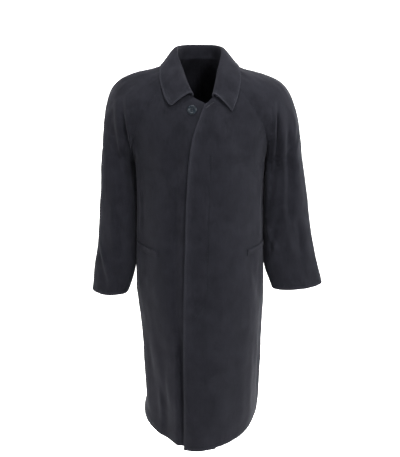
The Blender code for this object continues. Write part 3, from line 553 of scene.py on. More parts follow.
# long folds that hang from the shoulder's front over the raglan seam; a is the distance from the middle and
# b the height, in mm
armFolds = {
    "left": (
        (219, -75, 223, -310, 1, 4.2, 5.5), (225, -85, 234, -330, 1, -6.8, 6),
        (232, -270, 211, -480, 1, -5, 6), (211, -215, 218, -350, 3, -3, 3.8),
        (241, -80, 261, -580, 6, 5, 9), (270, -150, 283, -480, 0, -3.4, 12),
    ),
    "right": (
        (222, -50, 200, -345, -2, 6.8, 6.2), (230, -105, 204, -370, -1, -9, 7),
        (251, -55, 226, -380, 3, 5.2, 8), (265, -100, 272, -380, 0, -3, 12),
    ),
    # cloth that bridges the hollow between chest and arm
    "webs": {
        "left": ((209, -200, 207, -470, 2, 15, 10),),
        "right": ((190, -80, 200, -330, 0, 6, 18),),
    },
    "lean": 0.25, "webLean": -0.45,
    "behind": 0.01, "fade": 0.04,
}


def hangFolds(side, sheet):
    # both sheets at the seam move along one direction by the same field of place and height, so the
    # seam stays shut; smoothStep((-y - behind) / fade) ends it towards the back
    grid, sign = sheet["grid"], sideSign[side]
    out, up = grid[..., 0] * sign, grid[..., 2]
    weight = smoothStep((-grid[..., 1] - armFolds["behind"]) / armFolds["fade"])
    field = weight * creaseField(out, up, armFolds[side])
    web = weight * creaseField(out, up, armFolds["webs"][side], beside=0.0)
    sheet["grid"] = (grid + field[..., None] * (sign * armFolds["lean"], -1, 0)
                     + web[..., None] * (sign * armFolds["webLean"], -1, 0))


sheets = {}
for side in sideSign:
    for panel in ("front", "back"):
        sheets[panel, side] = torsoPanel(side, panel)
        sheets["sleeve_" + panel, side] = sleevePanel(side, panel)
for (panel, side), sheet in sheets.items():
    relieve(sheet)
    if not panel.endswith("back"):
        hangFolds(side, sheet)
print("panels shaped")

joint = {
    "columns": 20, "sigma": 0.009, "reach": 0.036, "fade": 0.022,
    "from": 0.22, "full": 0.45,       # share of the way from underarm to neck where it starts and is whole
}


def upperRows(sheet):
    # the rows from the underarm up, its own row with them
    return slice(int((sheet["level"] <= 1).sum()) - 1, None)


def lowerRows(sheet):
    # the rows below the underarm's
    return slice(0, upperRows(sheet).start)


def easeJoint(body, arm):
    # rounds the turn at a raglan seam: rows of both sheets joined, each point moved towards the
    # exp(-(length / sigma)^2) mean of its row, fading out away from the seam and towards the underarm
    n, bodyRows, armRows = joint["columns"], upperRows(body), upperRows(arm)
    rows = np.concatenate([body["grid"][bodyRows][:, -n:], arm["grid"][armRows][:, 1:n + 1]], axis=1)
    run = borderDistance(rows)["near"]
    kernel = bell(run[:, :, None] - run[:, None, :], joint["sigma"]) * np.gradient(run, axis=1)[:, None, :]
    mean = (kernel[..., None] * rows[:, None]).sum(axis=2) / kernel.sum(axis=2)[..., None]
    away = np.abs(run - run[:, n - 1:n])
    up = np.linspace(0, 1, len(rows))[:, None]
    weight = smoothStep((joint["reach"] - away) / joint["fade"])
    weight = weight * smoothStep((up - joint["from"]) / (joint["full"] - joint["from"]))
    rows = rows + weight[..., None] * (mean - rows)
    body["grid"][bodyRows, -n:] = rows[:, :n]
    arm["grid"][armRows, :n + 1] = rows[:, n - 1:]


def facingPoints(grid, middle, step=1):
    # every few points of a grid and their normals away from the middle, as two lists
    normal = outwardNormals(grid, middle)
    return grid[::step, ::step].reshape(-1, 3), normal[::step, ::step].reshape(-1, 3)


lean = {
    "columns": 26, "start": 0.055, "fade": 0.035, "clear": -0.0006, "most": 0.008, "reach": 0.05,
    "beyondX": 0.15, "belowZ": -0.24, "aboveZ": -0.76,      # the part of the body that it lies against
    "even": 3,                # rows on either side in the running mean
}


def leanSleeve(side):
    # bring a sleeve's inner side up to the body: each row moves sideways by what is left of its air,
    # fading as exp(-(distance from the inner seam / reach)^2)
    halves = [sheets["sleeve_front", side], sheets["sleeve_back", side]]
    body = [sheets["front", side], sheets["back", side]]
    lists = zip(*(facingPoints(sheet["grid"], sheet["middle"]) for sheet in body))
    spots, facing = (np.concatenate(part) for part in lists)
    chosen = ((spots[:, 0] * sideSign[side] > lean["beyondX"]) & (spots[:, 2] < lean["belowZ"])
              & (spots[:, 2] > lean["aboveZ"]))
    spots, facing = spots[chosen], facing[chosen]
    rows = upperRows(halves[0]).start + 1
    air = np.full(rows, 1.0)
    for sheet in halves:
        for row, points in enumerate(sheet["grid"][:rows, :lean["columns"]]):
            nearest = ((points[:, None] - spots[None]) ** 2).sum(axis=-1).argmin(axis=1)
            height = ((points - spots[nearest]) * facing[nearest]).sum(axis=1)
            air[row] = min(air[row], height.min())
    foot = borderDistance(halves[0]["grid"])["foot"][:rows, 0]
    weight = smoothStep((foot - lean["start"]) / lean["fade"])
    weight = weight * smoothStep((foot[-1] - foot) / lean["fade"])
    shift = np.clip(air - torso["cloth"] - lean["clear"], -lean["most"], lean["most"]) * weight
    window = 2 * lean["even"] + 1
    shift = np.convolve(np.pad(shift, lean["even"], mode="edge"), np.ones(window) / window, mode="valid")
    for sheet in halves:
        fade = bell(borderDistance(sheet["grid"])["near"][:rows], lean["reach"])
        sheet["grid"][:rows, :, 0] -= sideSign[side] * shift[:, None] * fade


for side in sideSign:
    for panel in ("front", "back"):
        easeJoint(sheets[panel, side], sheets["sleeve_" + panel, side])
    leanSleeve(side)
print("sleeves laid against the body")


def drawBack(sheet, column, other, otherColumn, rows=slice(None), otherRows=slice(None)):
    # open a shared seam: half the gap each, plus room for the walls where the two sheets turn, cloth / 2 *
    # press * tan(turn / 2), fading out over a few millimetres so that the columns keep their order
    parts = []
    for piece, edge, span in ((sheet, column, rows), (other, otherColumn, otherRows)):
        grid = piece["grid"][span]
        order = grid if edge == 0 else grid[:, ::-1]
        run = borderDistance(order)["near"]
        inside = int(np.searchsorted(run[:, 1:].mean(axis=0), torso["seamReach"])) + 1
        parts.append((piece, edge, span, run, unit(order[:, inside] - order[:, 0])))
    turn = np.arccos(np.clip(-(parts[0][4] * parts[1][4]).sum(axis=1), -1, 1))
    turn = np.clip(turn - torso["seamBend"], 0, math.radians(torso["seamTurnMost"]))
    back = torso["seamGap"] / 2 + torso["cloth"] / 2 * torso["seamPress"] * np.tan(turn / 2)
    for piece, edge, span, run, direction in parts:
        fade = 1 - smoothStep(run / np.maximum(torso["seamFade"], back[:, None] * 4))
        shift = (back[:, None] * fade)[..., None] * direction[:, None]
        piece["grid"][span] += shift if edge == 0 else shift[:, ::-1]


for side in sideSign:
    frontSheet, backSheet = sheets["front", side], sheets["back", side]
    sleeveFront, sleeveBack = sheets["sleeve_front", side], sheets["sleeve_back", side]
    for body, arm in ((frontSheet, sleeveFront), (backSheet, sleeveBack)):
        drawBack(body, -1, arm, 0, upperRows(body), upperRows(arm))
    drawBack(frontSheet, -1, backSheet, -1, lowerRows(frontSheet), lowerRows(backSheet))
    drawBack(sleeveFront, -1, sleeveBack, -1)
    drawBack(sleeveFront, 0, sleeveBack, 0, lowerRows(sleeveFront), lowerRows(sleeveBack))
drawBack(sheets["back", "left"], 0, sheets["back", "right"], 0)
print("seams opened")

cutEdge = {
    "seamPower": 6,
    # how far from a turned edge the painted highlight reaches
    "paintedHighlightReach": 0.0078,
    "roll": 0.45,             # how much fuller a turned edge is than the cloth
    "rollPlace": 0.0032, "rollWidth": 0.0032,
    "pinch": 0.34,            # how far the stitching pulls the two faces together
    "pinchWidth": 0.0013,
}


def shellHeight(grid, thickness, turned, stitched, sewn):
    # half thickness over the sheet: t/2 (1 - (1 - d/r)^n)^(1/n), half-round at free borders (n = 2) and
    # nearly square at sewn ones; turned borders swell by a bell, and a stitched one is pinched by one
    distance = borderDistance(grid)
    radius = thickness / 2
    height = np.full(grid.shape[:2], radius)
    for name, away in distance.items():
        power = cutEdge["seamPower"] if name in sewn else 2
        inside = 1 - np.clip(away / radius, 0, 1)
        height = np.minimum(height, radius * (1 - inside ** power) ** (1 / power))
    swells = [(name, cutEdge["roll"], cutEdge["rollPlace"], cutEdge["rollWidth"]) for name in turned]
    swells += [(name, -cutEdge["pinch"], place, cutEdge["pinchWidth"]) for name, place in stitched.items()]
    for name, share, place, width in swells:
        height = height * (1 + share * bell(distance[name] - place, width))
    return height


def makeMesh(name, points, faces, material, places=None):
    # quads, and triangles where a quad's last two corners are the same point
    triangle = faces[:, 2] == faces[:, 3]
    corners = np.where(triangle, 3, 4)
    used = np.ones(faces.shape, bool)
    used[triangle, 3] = False
    mesh = bpy.data.meshes.new(name)
    mesh.vertices.add(len(points))
    mesh.vertices.foreach_set("co", np.asarray(points, np.float32).ravel())
    mesh.loops.add(int(corners.sum()))
    mesh.loops.foreach_set("vertex_index", faces[used].astype(np.int32))
    mesh.polygons.add(len(faces))
    mesh.polygons.foreach_set("loop_start", np.concatenate([[0], np.cumsum(corners)[:-1]]).astype(np.int32))
    if places is not None:
        layer = mesh.uv_layers.new(name="cloth")
        layer.data.foreach_set("uv", places[faces[used]].astype(np.float32).ravel())
    mesh.update(calc_edges=True)
    mesh.validate()
    mesh.shade_smooth()
    mesh.materials.append(material)
    piece = bpy.data.objects.new(name, mesh)
    bpy.context.scene.collection.objects.link(piece)
    return piece


def ringFaces(rings, around, tips=2):
    # quads between rings of points; then triangles to a tip before the first ring and one past the last
    a = np.arange(around)
    b = (a + 1) % around
    start = (np.arange(rings - 1) * around)[:, None]
    last = (rings - 1) * around
    tip = 0 * a + rings * around
    faces = [together(a + start, a + start + around, b + start + around, b + start).reshape(-1, 4),
             together(tip, a, b, b), together(tip + 1, b + last, a + last, a + last)]
    return np.concatenate(faces[:tips + 1])


def gridFaces(index):
    # a quad for every cell of a grid; the corner cells are halved from their corner, so that no two border
    # points are joined across the cloth
    cells = together(index[:-1, :-1], index[:-1, 1:], index[1:, 1:], index[1:, :-1])
    halves = []
    for turn, (row, column) in enumerate(((0, 0), (0, -1), (-1, -1), (-1, 0))):
        a, b, c, d = np.roll(cells[row, column], -turn)
        cells[row, column] = a, b, c, c
        halves.append((a, c, d, d))
    return np.concatenate([cells.reshape(-1, 4), halves])


def turnedOver(faces):
    # the same faces seen from behind
    return faces[:, [1, 0, 3, 2]]


def bothFaces(outer, inner):
    # values of a shell's points: the outer face's, then the inner face's without the border that they share
    return np.concatenate([part.reshape(-1, outer.shape[2]) for part in (outer, inner[1:-1, 1:-1])])


def pieceOfCloth(name, sheet, thickness, material, turned=(), stitched={}, sewn=(), highlightedBorders=None):
    # a closed shell: the sheet plus and minus its normals times the height, joined at the border
    grid = sheet["grid"]
    rows, columns = grid.shape[:2]
    if "outwards" not in sheet:
        sheet["outwards"] = outwardSign(grid, sheet["middle"])
    height = shellHeight(grid, thickness, turned, stitched, sewn)[..., None]
    sheet["normal"] = normals(grid) * sheet["outwards"]
    sheet["outer"] = grid + sheet["normal"] * height
    outer = np.arange(rows * columns).reshape(rows, columns)
    inner = outer.copy()
    inside = inner[1:-1, 1:-1]
    inside[:] = rows * columns + np.arange(inside.size).reshape(inside.shape)
    faces = np.concatenate([gridFaces(outer), turnedOver(gridFaces(inner))])
    if sheet["outwards"] < 0:
        faces = turnedOver(faces)
    places = together(np.linspace(0, 1, columns), np.linspace(0, 1, rows)[:, None])
    piece = makeMesh(name, bothFaces(sheet["outer"], grid - sheet["normal"] * height), faces, material,
                     bothFaces(places, places))
    # painted highlight along the edges, standing in for the sheen of light on their rounded folds:
    # exp(-(distance / reach)^2) from the chosen borders
    distance = borderDistance(grid)
    paintedHighlight = np.zeros((rows, columns, 1))
    for border in turned if highlightedBorders is None else highlightedBorders:
        paintedHighlight = np.maximum(paintedHighlight, bell(distance[border], cutEdge["paintedHighlightReach"])[..., None])
    layer = piece.data.attributes.new("paintedEdgeHighlight", "FLOAT", "POINT")
    layer.data.foreach_set("value", bothFaces(paintedHighlight, paintedHighlight).ravel().astype(np.float32))
    return piece


def newGroup(name, inputs, outputs):
    # an empty node group with its input and output sockets
    group = bpy.data.node_groups.new(name, "ShaderNodeTree")
    for label, kind, value in inputs:
        socket = group.interface.new_socket(label, in_out="INPUT", socket_type=kind)
        if value is not None:
            socket.default_value = value
    for label in outputs:
        group.interface.new_socket(label, in_out="OUTPUT", socket_type="NodeSocketFloat")
    return group, group.nodes.new("NodeGroupInput"), group.nodes.new("NodeGroupOutput")


def setInputs(node, values):
    # the fixed values of a node's inputs, by name or number
    for name, value in values.items():
        node.inputs[name].default_value = value


def addNode(tree, kind, links, values={}, **settings):
    # a node with its settings and fixed values; links go from its own input to another node's output
    node = tree.nodes.new(kind)
    for key, value in settings.items():
        setattr(node, key, value)
    setInputs(node, values)
    for own, socket in links.items():
        tree.links.new(socket, node.inputs[own])
    return node


def mixColours(tree, share, first, second):
    # first + share * (second - first); the first is a colour or another node's output
    links, values = {0: share}, {7: second}
    (values if isinstance(first, tuple) else links)[6] = first
    return addNode(tree, "ShaderNodeMix", links, values, data_type="RGBA").outputs[2]


nap = {
    "Fibres": {"Detail": 3.0, "Roughness": 0.62},
    "Clumps": {"Detail": 4.0, "Roughness": 0.6, "Distortion": 0.4},
    "Patches": {"Detail": 3.0, "Roughness": 0.5},
    "drawnOut": (1.0, 1.0, 0.42), "fibreHeight": 0.55,
    "Shade": (0.62, 1.38), "Tip": (0.52, 0.74),      # from none to full
}


def makeNapGroup():
    # brushed wool from Object coordinates: height = share * drawn-out fibres + felted clumps, shade =
    # clumps + broad pressed patches, tips = the highest fibres
    group, given, result = newGroup(
        "brushedNap",
        [("Place", "NodeSocketVector", None), ("Fibres", "NodeSocketFloat", 1500.0),
         ("Clumps", "NodeSocketFloat", 260.0), ("Patches", "NodeSocketFloat", 11.0)],
        ("Shade", "Tip", "Height"))
    drawn = addNode(group, "ShaderNodeVectorMath", {0: given.outputs["Place"]}, {1: nap["drawnOut"]},
                    operation="MULTIPLY")
    noise = {}
    for name, place in (("Fibres", drawn.outputs[0]), ("Clumps", drawn.outputs[0]),
                        ("Patches", given.outputs["Place"])):
        links = {"Vector": place, "Scale": given.outputs[name]}
        noise[name] = addNode(group, "ShaderNodeTexNoise", links, nap[name]).outputs["Fac"]
    mixed = addNode(group, "ShaderNodeMath", {0: noise["Clumps"], 1: noise["Patches"]}, operation="ADD")
    for label, value in (("Shade", mixed.outputs[0]), ("Tip", noise["Fibres"])):
        low, high = nap[label]
        node = addNode(group, "ShaderNodeMapRange", {"Value": value}, {"From Min": low, "From Max": high})
        group.links.new(node.outputs[0], result.inputs[label])
    fine = addNode(group, "ShaderNodeMath", {0: noise["Fibres"]}, {1: nap["fibreHeight"]},
                   operation="MULTIPLY")
    height = addNode(group, "ShaderNodeMath", {0: fine.outputs[0], 1: noise["Clumps"]}, operation="ADD")
    group.links.new(height.outputs[0], result.inputs["Height"])
    return group


def shaderOf(name, surface):
    # a new material, its node tree and its shader with the surface's fixed values
    material = bpy.data.materials.new(name)
    material.use_nodes = True
    shader = material.node_tree.nodes["Principled BSDF"]
    setInputs(shader, surface)
    return material, material.node_tree, shader


wool = {
    "dark": (0.0016, 0.0017, 0.0025, 1), "light": (0.0046, 0.0047, 0.0063, 1),
    "tip": (0.013, 0.0133, 0.0172, 1), "tipShare": 0.38,
    # a lighter colour and its share along the edges: a painted highlight, the sheen of light on the rounded
    # edges painted into the colour
    "paintedHighlightColour": (0.0120, 0.0122, 0.0155, 1), "paintedHighlight": 0.36,
    "sizes": {"Fibres": 1500.0, "Clumps": 150.0, "Patches": 26.0},
    "bump": {"Strength": 0.42, "Distance": 0.0007},
    "surface": {"Roughness": 0.88, "Specular IOR Level": 0.03, "Sheen Weight": 0.034,
                "Sheen Roughness": 0.45, "Sheen Tint": (0.62, 0.62, 0.72, 1)},
}
pressedWool = {**wool, "sizes": {**wool["sizes"], "Patches": 32.0},
               "bump": {**wool["bump"], "Strength": 0.34}}


def makeWool(name, spec):
    # colour: dark to light by the nap's shade, then its tips, then a painted highlight along the edges;
    # bump: its height
    material, tree, shader = shaderOf(name, spec["surface"])
    place = addNode(tree, "ShaderNodeTexCoord", {})
    brushed = addNode(tree, "ShaderNodeGroup", {}, node_tree=napGroup)
    setInputs(brushed, spec["sizes"])
    tree.links.new(place.outputs["Object"], brushed.inputs["Place"])
    # the mask of the painted edge highlight
    paintedHighlight = addNode(tree, "ShaderNodeAttribute", {}, attribute_name="paintedEdgeHighlight")
    colour = mixColours(tree, brushed.outputs["Shade"], spec["dark"], spec["light"])
    for mask, share, tint in ((brushed.outputs["Tip"], "tipShare", "tip"),
                              (paintedHighlight.outputs["Fac"], "paintedHighlight", "paintedHighlightColour")):
        part = addNode(tree, "ShaderNodeMath", {0: mask}, {1: spec[share]}, operation="MULTIPLY")
        colour = mixColours(tree, part.outputs[0], colour, spec[tint])
    tree.links.new(colour, shader.inputs["Base Color"])
    bump = addNode(tree, "ShaderNodeBump", {"Height": brushed.outputs["Height"]}, spec["bump"])
    tree.links.new(bump.outputs["Normal"], shader.inputs["Normal"])
    return material


# colour, how much the noise darkens and lightens it, the noise's scale, roughness, specular level, the rest
plainLooks = {
    "navySewingThread": ((0.0026, 0.0027, 0.0038), 0.2, 900.0, 0.7, 0.06, {}),
    "buttonholeTwist": ((0.0078, 0.0078, 0.0100), 0.25, 900.0, 0.6, 0.2, {}),
    "polishedHornButton": ((0.0026, 0.0042, 0.0060), 0.55, 130.0, 0.31, 0.08,
                           {"Coat Weight": 0.02, "Coat Roughness": 0.15}),
    "paleFloor": ((0.86, 0.86, 0.86), 0.01, 3.0, 0.9, 0.1,
                  {"Emission Color": (1, 1, 1, 1), "Emission Strength": 0.45}),
}


def makePlain(name):
    # the colour times 1 - mottle to 1 + mottle by noise
    colour, mottle, scale, roughness, specular, rest = plainLooks[name]
    surface = {"Roughness": roughness, "Specular IOR Level": specular, **rest}
    material, tree, shader = shaderOf(name, surface)
    place = addNode(tree, "ShaderNodeTexCoord", {})
    noise = addNode(tree, "ShaderNodeTexNoise", {"Vector": place.outputs["Object"]},
                    {"Scale": scale, "Detail": 4.0, "Roughness": 0.55})
    dark, light = (tuple(part * (1 + turn * mottle) for part in colour) + (1,) for turn in (-1, 1))
    tree.links.new(mixColours(tree, noise.outputs["Fac"], dark, light), shader.inputs["Base Color"])
    return material


napGroup = makeNapGroup()
woolMaterial = makeWool("navyWool", wool)
collarMaterial = makeWool("pressedCollarWool", pressedWool)
threadMaterial = makePlain("navySewingThread")
twistMaterial = makePlain("buttonholeTwist")
buttonMaterial = makePlain("polishedHornButton")
print("materials made")

welt = {
    "length": 0.128, "height": 0.020, "cloth": 0.0020,
    # the mouth's height and how far its front end is from the centre
    "topZ": -0.536, "frontX": {"left": 0.141, "right": 0.123},
    "lift": 0.0024, "liftPlace": 0.32, "clear": 0.00039, "corner": 0.0025, "endStitch": 0.0022,
    "columns": 60, "rows": 16,
    # the coat dips along the pocket's mouth
    "mouthRise": 0.0012, "mouthDepth": 0.0013, "mouthWidth": 0.0022, "mouthAngle": 0.64, "mouthSteps": 24,
}


def pressLine(sheet, path, depth, width):
    # the sheet dips along a line of x and height where it is sewn down: depth * exp(-(distance / width)^2)
    grid = sheet["grid"]
    x, z = grid[..., 0], grid[..., 2]
    nearest = np.full(x.shape, 1.0)
    for (x0, z0), (x1, z1) in zip(path[:-1], path[1:]):
        wayX, wayZ = x1 - x0, z1 - z0
        t = np.clip(((x - x0) * wayX + (z - z0) * wayZ) / (wayX ** 2 + wayZ ** 2), 0, 1)
        nearest = np.minimum(nearest, np.hypot(x - x0 - t * wayX, z - z0 - t * wayZ))
    dip = depth * bell(nearest, width)
    sheet["grid"] = grid - outwardNormals(grid, sheet["middle"]) * dip[..., None]


leftFront, rightFront = sheets["front", "left"], sheets["front", "right"]
flyLine = np.array(front["flyLine"]) * mm
pressLine(leftFront, smoothPath(flyLine, front["flySteps"]), front["flyDepth"], front["flyWidth"])
for side in sideSign:
    angles = np.linspace(0, welt["mouthAngle"], welt["mouthSteps"])
    angles = angleAt(side, welt["frontX"][side], welt["topZ"]) + angles
    mouth = ring(side, welt["topZ"] + welt["mouthRise"], angles)[:, (0, 2)]
    pressLine(sheets["front", side], mouth, welt["mouthDepth"], welt["mouthWidth"])
pieces = {}
for (panel, side), sheet in sheets.items():
    name = panel + "_" + side
    turned, stitched, sewn = ("foot",), {}, ("near", "far", "head")
    if panel == "front":
        turned, stitched, sewn = ("near", "foot"), {"near": front["edgeStitch"]}, ("far", "head")
    pieces[name] = pieceOfCloth(name + "_wool", sheet, torso["cloth"], woolMaterial, turned, stitched, sewn)
print("fronts, backs and sleeves made")

collar = {
    "cloth": 0.0026, "width": 0.66, "height": 0.135,      # the sizes are for the mesh's steps
    "columnStep": 0.0030, "rowStep": 0.0024, "edgeBand": (0.0, 0.010, 0.0009),
    "seamRise": 0.0004, "seamRows": 8,      # it goes on past the neck's edge, as its last rows lead
    "rest": 0.0020,           # air under it where it lies on the coat
    "restFrom": 1.05, "armX": 0.1, "armZ": -0.15,      # the coat's upper part that it lies on
    "rollPlace": 0.3,         # the roll line's place between the neck seam (0) and the outer edge (1)
    "turn": 0.3, "turnMost": 0.010, "turnLeast": 0.0025, "middleY": -0.02, "middleZ": -0.03,
    "standHandle": 0.45, "fallHandle": 0.4, "fallBow": 0.002, "fallTurn": 0.9,
    "edgeStitch": 0.0060,
    "tips": {"left": 0.003, "right": 0.013}, "tipHeight": 0.9,      # roundness of the two tips
    "hollow": {"left": 0.0090, "right": 0.0125},     # how far the front edges curve in
    "hollowReach": 0.07, "hollowPower": 0.66,
    "lift": 0.0058,           # how far the front edges stand off the coat
    "liftReach": 0.022, "liftPower": 0.6,
    "ease": 0.35,             # share of the way down after which it is moved in full to lie on the coat
    "settle": ((1.1, 48), (1.0, 6)),      # how much of the move is made, and how often it is evened
    # from the front end (0) to the centre back (1), in mm: roll line and outer edge
    "names": "along rollX rollY rollZ edgeX edgeY edgeZ",
    "guides": {
        "left": (
            (0, 36, -129, -78.5, 92.5, -140, -122), (0.08, 40, -113, -64, 101, -133, -101),
            (0.18, 46, -89, -42, 108.5, -119, -82), (0.3, 54, -61, -10, 115, -101, -57),
            (0.42, 62, -30, 15, 119, -76, -31), (0.54, 68, 2, 37, 118.5, -35, -7),
            (0.66, 68, 31, 52, 112, 15, 4), (0.8, 56, 68, 58, 98, 83, -4),
            (0.9, 34, 88, 60.5, 64, 120, -12), (1, 0, 96, 61, 0, 137, -15),
        ),
        "right": (
            (0, 20, -126, -76.5, 83, -137, -108), (0.08, 27, -111, -62, 96, -128, -93),
            (0.18, 37, -88, -43, 105, -116, -76), (0.3, 50, -60, -14, 112, -98, -54),
            (0.42, 61, -33, 11, 118, -74, -31), (0.54, 71, -2, 35, 119.5, -35, -8),
            (0.66, 73.5, 30, 53, 116, 15, 4), (0.8, 58, 68, 59, 99, 83, -4),
            (0.9, 34.5, 88, 60.8, 64, 120, -12), (1, 0, 96, 61, 0, 137, -15),
        ),
    },
}
collarCurves = {side: curves(collar["names"], rows, (1,) + (mm,) * 6)
                for side, rows in collar["guides"].items()}


def neckPath(side):
    # the neck edges of front, sleeve halves and back in one line, carried on past the cloth's edge, and the
    # share of its length at each point
    edges = {}
    for panel in ("front", "sleeve_front", "sleeve_back", "back"):
        grid = sheets[panel, side]["grid"]
        edges[panel] = grid[-1] + unit(grid[-1] - grid[-collar["seamRows"]]) * collar["seamRise"]
    start = collarCurves[side]["rollX"](0.0)
    own = edges["front"][:, 0] * sideSign[side]
    path = np.concatenate([readAlong([start], own, edges["front"]), edges["front"][own > start + mm],
                           edges["sleeve_front"][1:], edges["sleeve_back"][-2::-1], edges["back"][-2::-1]])
    length = borderDistance(path[None])["near"][0]
    return path, length / length[-1]


def roundCorner(across, down, width, height, radius):
    # bends the square corner where both distances are under the radius into a quarter circle:
    # (x, y) -> (x sqrt(1 - y^2/2), y sqrt(1 - x^2/2))
    x = 1 - np.clip(across * width / radius, 0, 1)
    y = 1 - np.clip(down * height / radius, 0, 1)
    roundX = x * np.sqrt(1 - y * y / 2)
    roundY = y * np.sqrt(1 - x * x / 2)
    return across + (x - roundX) * radius / width, down + (y - roundY) * radius / height


def collarPoints(along, level):
    # along runs -1 at the right end, 0 at the back, 1 at the left; level runs from the neck seam by
    # the roll line to the outer edge, on one cubic for the stand and one for the fall
    place = 1 - np.abs(along)
    guides = {}
    for side, sign in sideSign.items():
        get = {name: curve(place) for name, curve in collarCurves[side].items()}
        roll, edge = (together(sign * get[part + "X"], get[part + "Y"], get[part + "Z"])
                      for part in ("roll", "edge"))
        path, share = neckPath(side)
        guides[side] = roll, edge, readAlong(place, share, path)
    onLeft = (along > 0)[..., None]
    roll, edge, seam = (np.where(onLeft, a, b) for a, b in zip(guides["left"], guides["right"]))
    out = unit(roll * (1, 1, 0) - (0, collar["middleY"], 0))
    stand, fall = roll - seam, edge - roll
    turn = collar["turn"] * np.linalg.norm(stand, axis=-1, keepdims=True)
    turn = np.minimum(turn, collar["turnMost"]) + collar["turnLeast"]
    level, onRoll = level[..., None], collar["rollPlace"]
    up, down = np.clip(level / onRoll, 0, 1), np.clip((level - onRoll) / (1 - onRoll), 0, 1)
    standing = bezier(seam, seam + stand * collar["standHandle"], roll - out * turn, roll, up)
    low = edge - fall * collar["fallHandle"] + out * collar["fallBow"]
    falling = bezier(roll, roll + out * turn * collar["fallTurn"], low, edge, down)
    return np.where(level <= onRoll, standing, falling)


def restOn(points, clearance, passes=4, parts=24):
    # push points out along the nearest place's normal until they clear the coat by the clearance
    lists = []
    for (panel, side), sheet in sheets.items():
        middle = np.array([sideSign[side] * collar["armX"], 0, collar["armZ"]])
        lists.append(facingPoints(sheet["grid"][sheet["level"] > collar["restFrom"]], middle, 2))
    spots, facing = (np.concatenate(part) for part in zip(*lists))
    flat = points.reshape(-1, 3).copy()
    square = (spots ** 2).sum(axis=1)
    for part in np.array_split(np.arange(len(flat)), parts):
        for _ in range(passes):
            nearest = (square - 2 * flat[part] @ spots.T).argmin(axis=1)
            height = ((flat[part] - spots[nearest]) * facing[nearest]).sum(axis=1)
            flat[part] += facing[nearest] * np.maximum(clearance - height, 0)[:, None]
    return flat.reshape(points.shape)


def evened(field, passes):
    # each pass takes the mean of the place, counted twice, and its four neighbours, the border repeated
    for _ in range(passes):
        wide = np.pad(field, ((1, 1), (1, 1), (0, 0)), mode="edge")
        field = (2 * field + wide[2:, 1:-1] + wide[:-2, 1:-1] + wide[1:-1, 2:] + wide[1:-1, :-2]) / 6
    return field


def makeCollar():
    # the guide lines' surface with rounded tips and curved-in front edges, laid on the coat
    rim, width, height, onRoll = collar["cloth"] / 2, collar["width"], collar["height"], collar["rollPlace"]
    bands = (collar["edgeBand"],)
    level = spread(height, collar["rowStep"], rim, (), bands)[:, None]
    along = 2 * spread(width, collar["columnStep"], rim, bands, bands) - 1
    for side, sign in sideSign.items():
        end, down = (1 - sign * along) / 2, 1 - level
        end, down = roundCorner(end, down, width, height * collar["tipHeight"], collar["tips"][side])
        along, level = sign * (1 - 2 * end), 1 - down
    # hollow * sin(pi down^0.66) * exp(-(distance from the end / reach)^2)
    down = np.clip((level - onRoll) / (1 - onRoll), 0, 1)
    for side, sign in sideSign.items():
        bite = 2 * collar["hollow"][side] / width * np.sin(math.pi * down ** collar["hollowPower"])
        along = along - sign * bite * bell(1 - sign * along, collar["hollowReach"])
    points = collarPoints(along, level)
    lying = level[:, level.shape[1] // 2] > onRoll
    fall, ease = points[lying], smoothStep((level[lying] - onRoll) / collar["ease"])[..., None]
    clearance = (torso["cloth"] + collar["cloth"]) / 2 + collar["rest"]
    for share, passes in collar["settle"]:
        fall = fall + share * ease * evened(restOn(fall, clearance) - fall, passes)
    points[lying] = fall
    outwards = outwardSign(fall, np.array([0, 0, collar["middleZ"]]))
    # lift * sin(pi down^0.6) * exp(-(distance from the end / reach)^2)
    away = (1 - np.abs(along)) * width / 2
    lift = collar["lift"] * np.sin(math.pi * down ** collar["liftPower"]) * bell(away, collar["liftReach"])
    sheet = {"grid": points + normals(points) * outwards * lift[..., None], "outwards": outwards}
    free = ("head", "near", "far")
    piece = pieceOfCloth("collar_wool", sheet, collar["cloth"], collarMaterial, free,
                         dict.fromkeys(free, collar["edgeStitch"]), ("foot",))
    return piece, sheet


pieces["collar"], collarSheet = makeCollar()
print("collar made")


def sample(array, row, column):
    # bilinear value of a grid array at fractional rows and columns
    row = np.clip(row, 0, array.shape[0] - 1.001)
    column = np.clip(column, 0, array.shape[1] - 1.001)
    r, c = row.astype(int), column.astype(int)
    fr, fc = (row - r)[..., None], (column - c)[..., None]
    return (array[r, c] * (1 - fr) * (1 - fc) + array[r + 1, c] * fr * (1 - fc)
            + array[r, c + 1] * (1 - fr) * fc + array[r + 1, c + 1] * fr * fc)


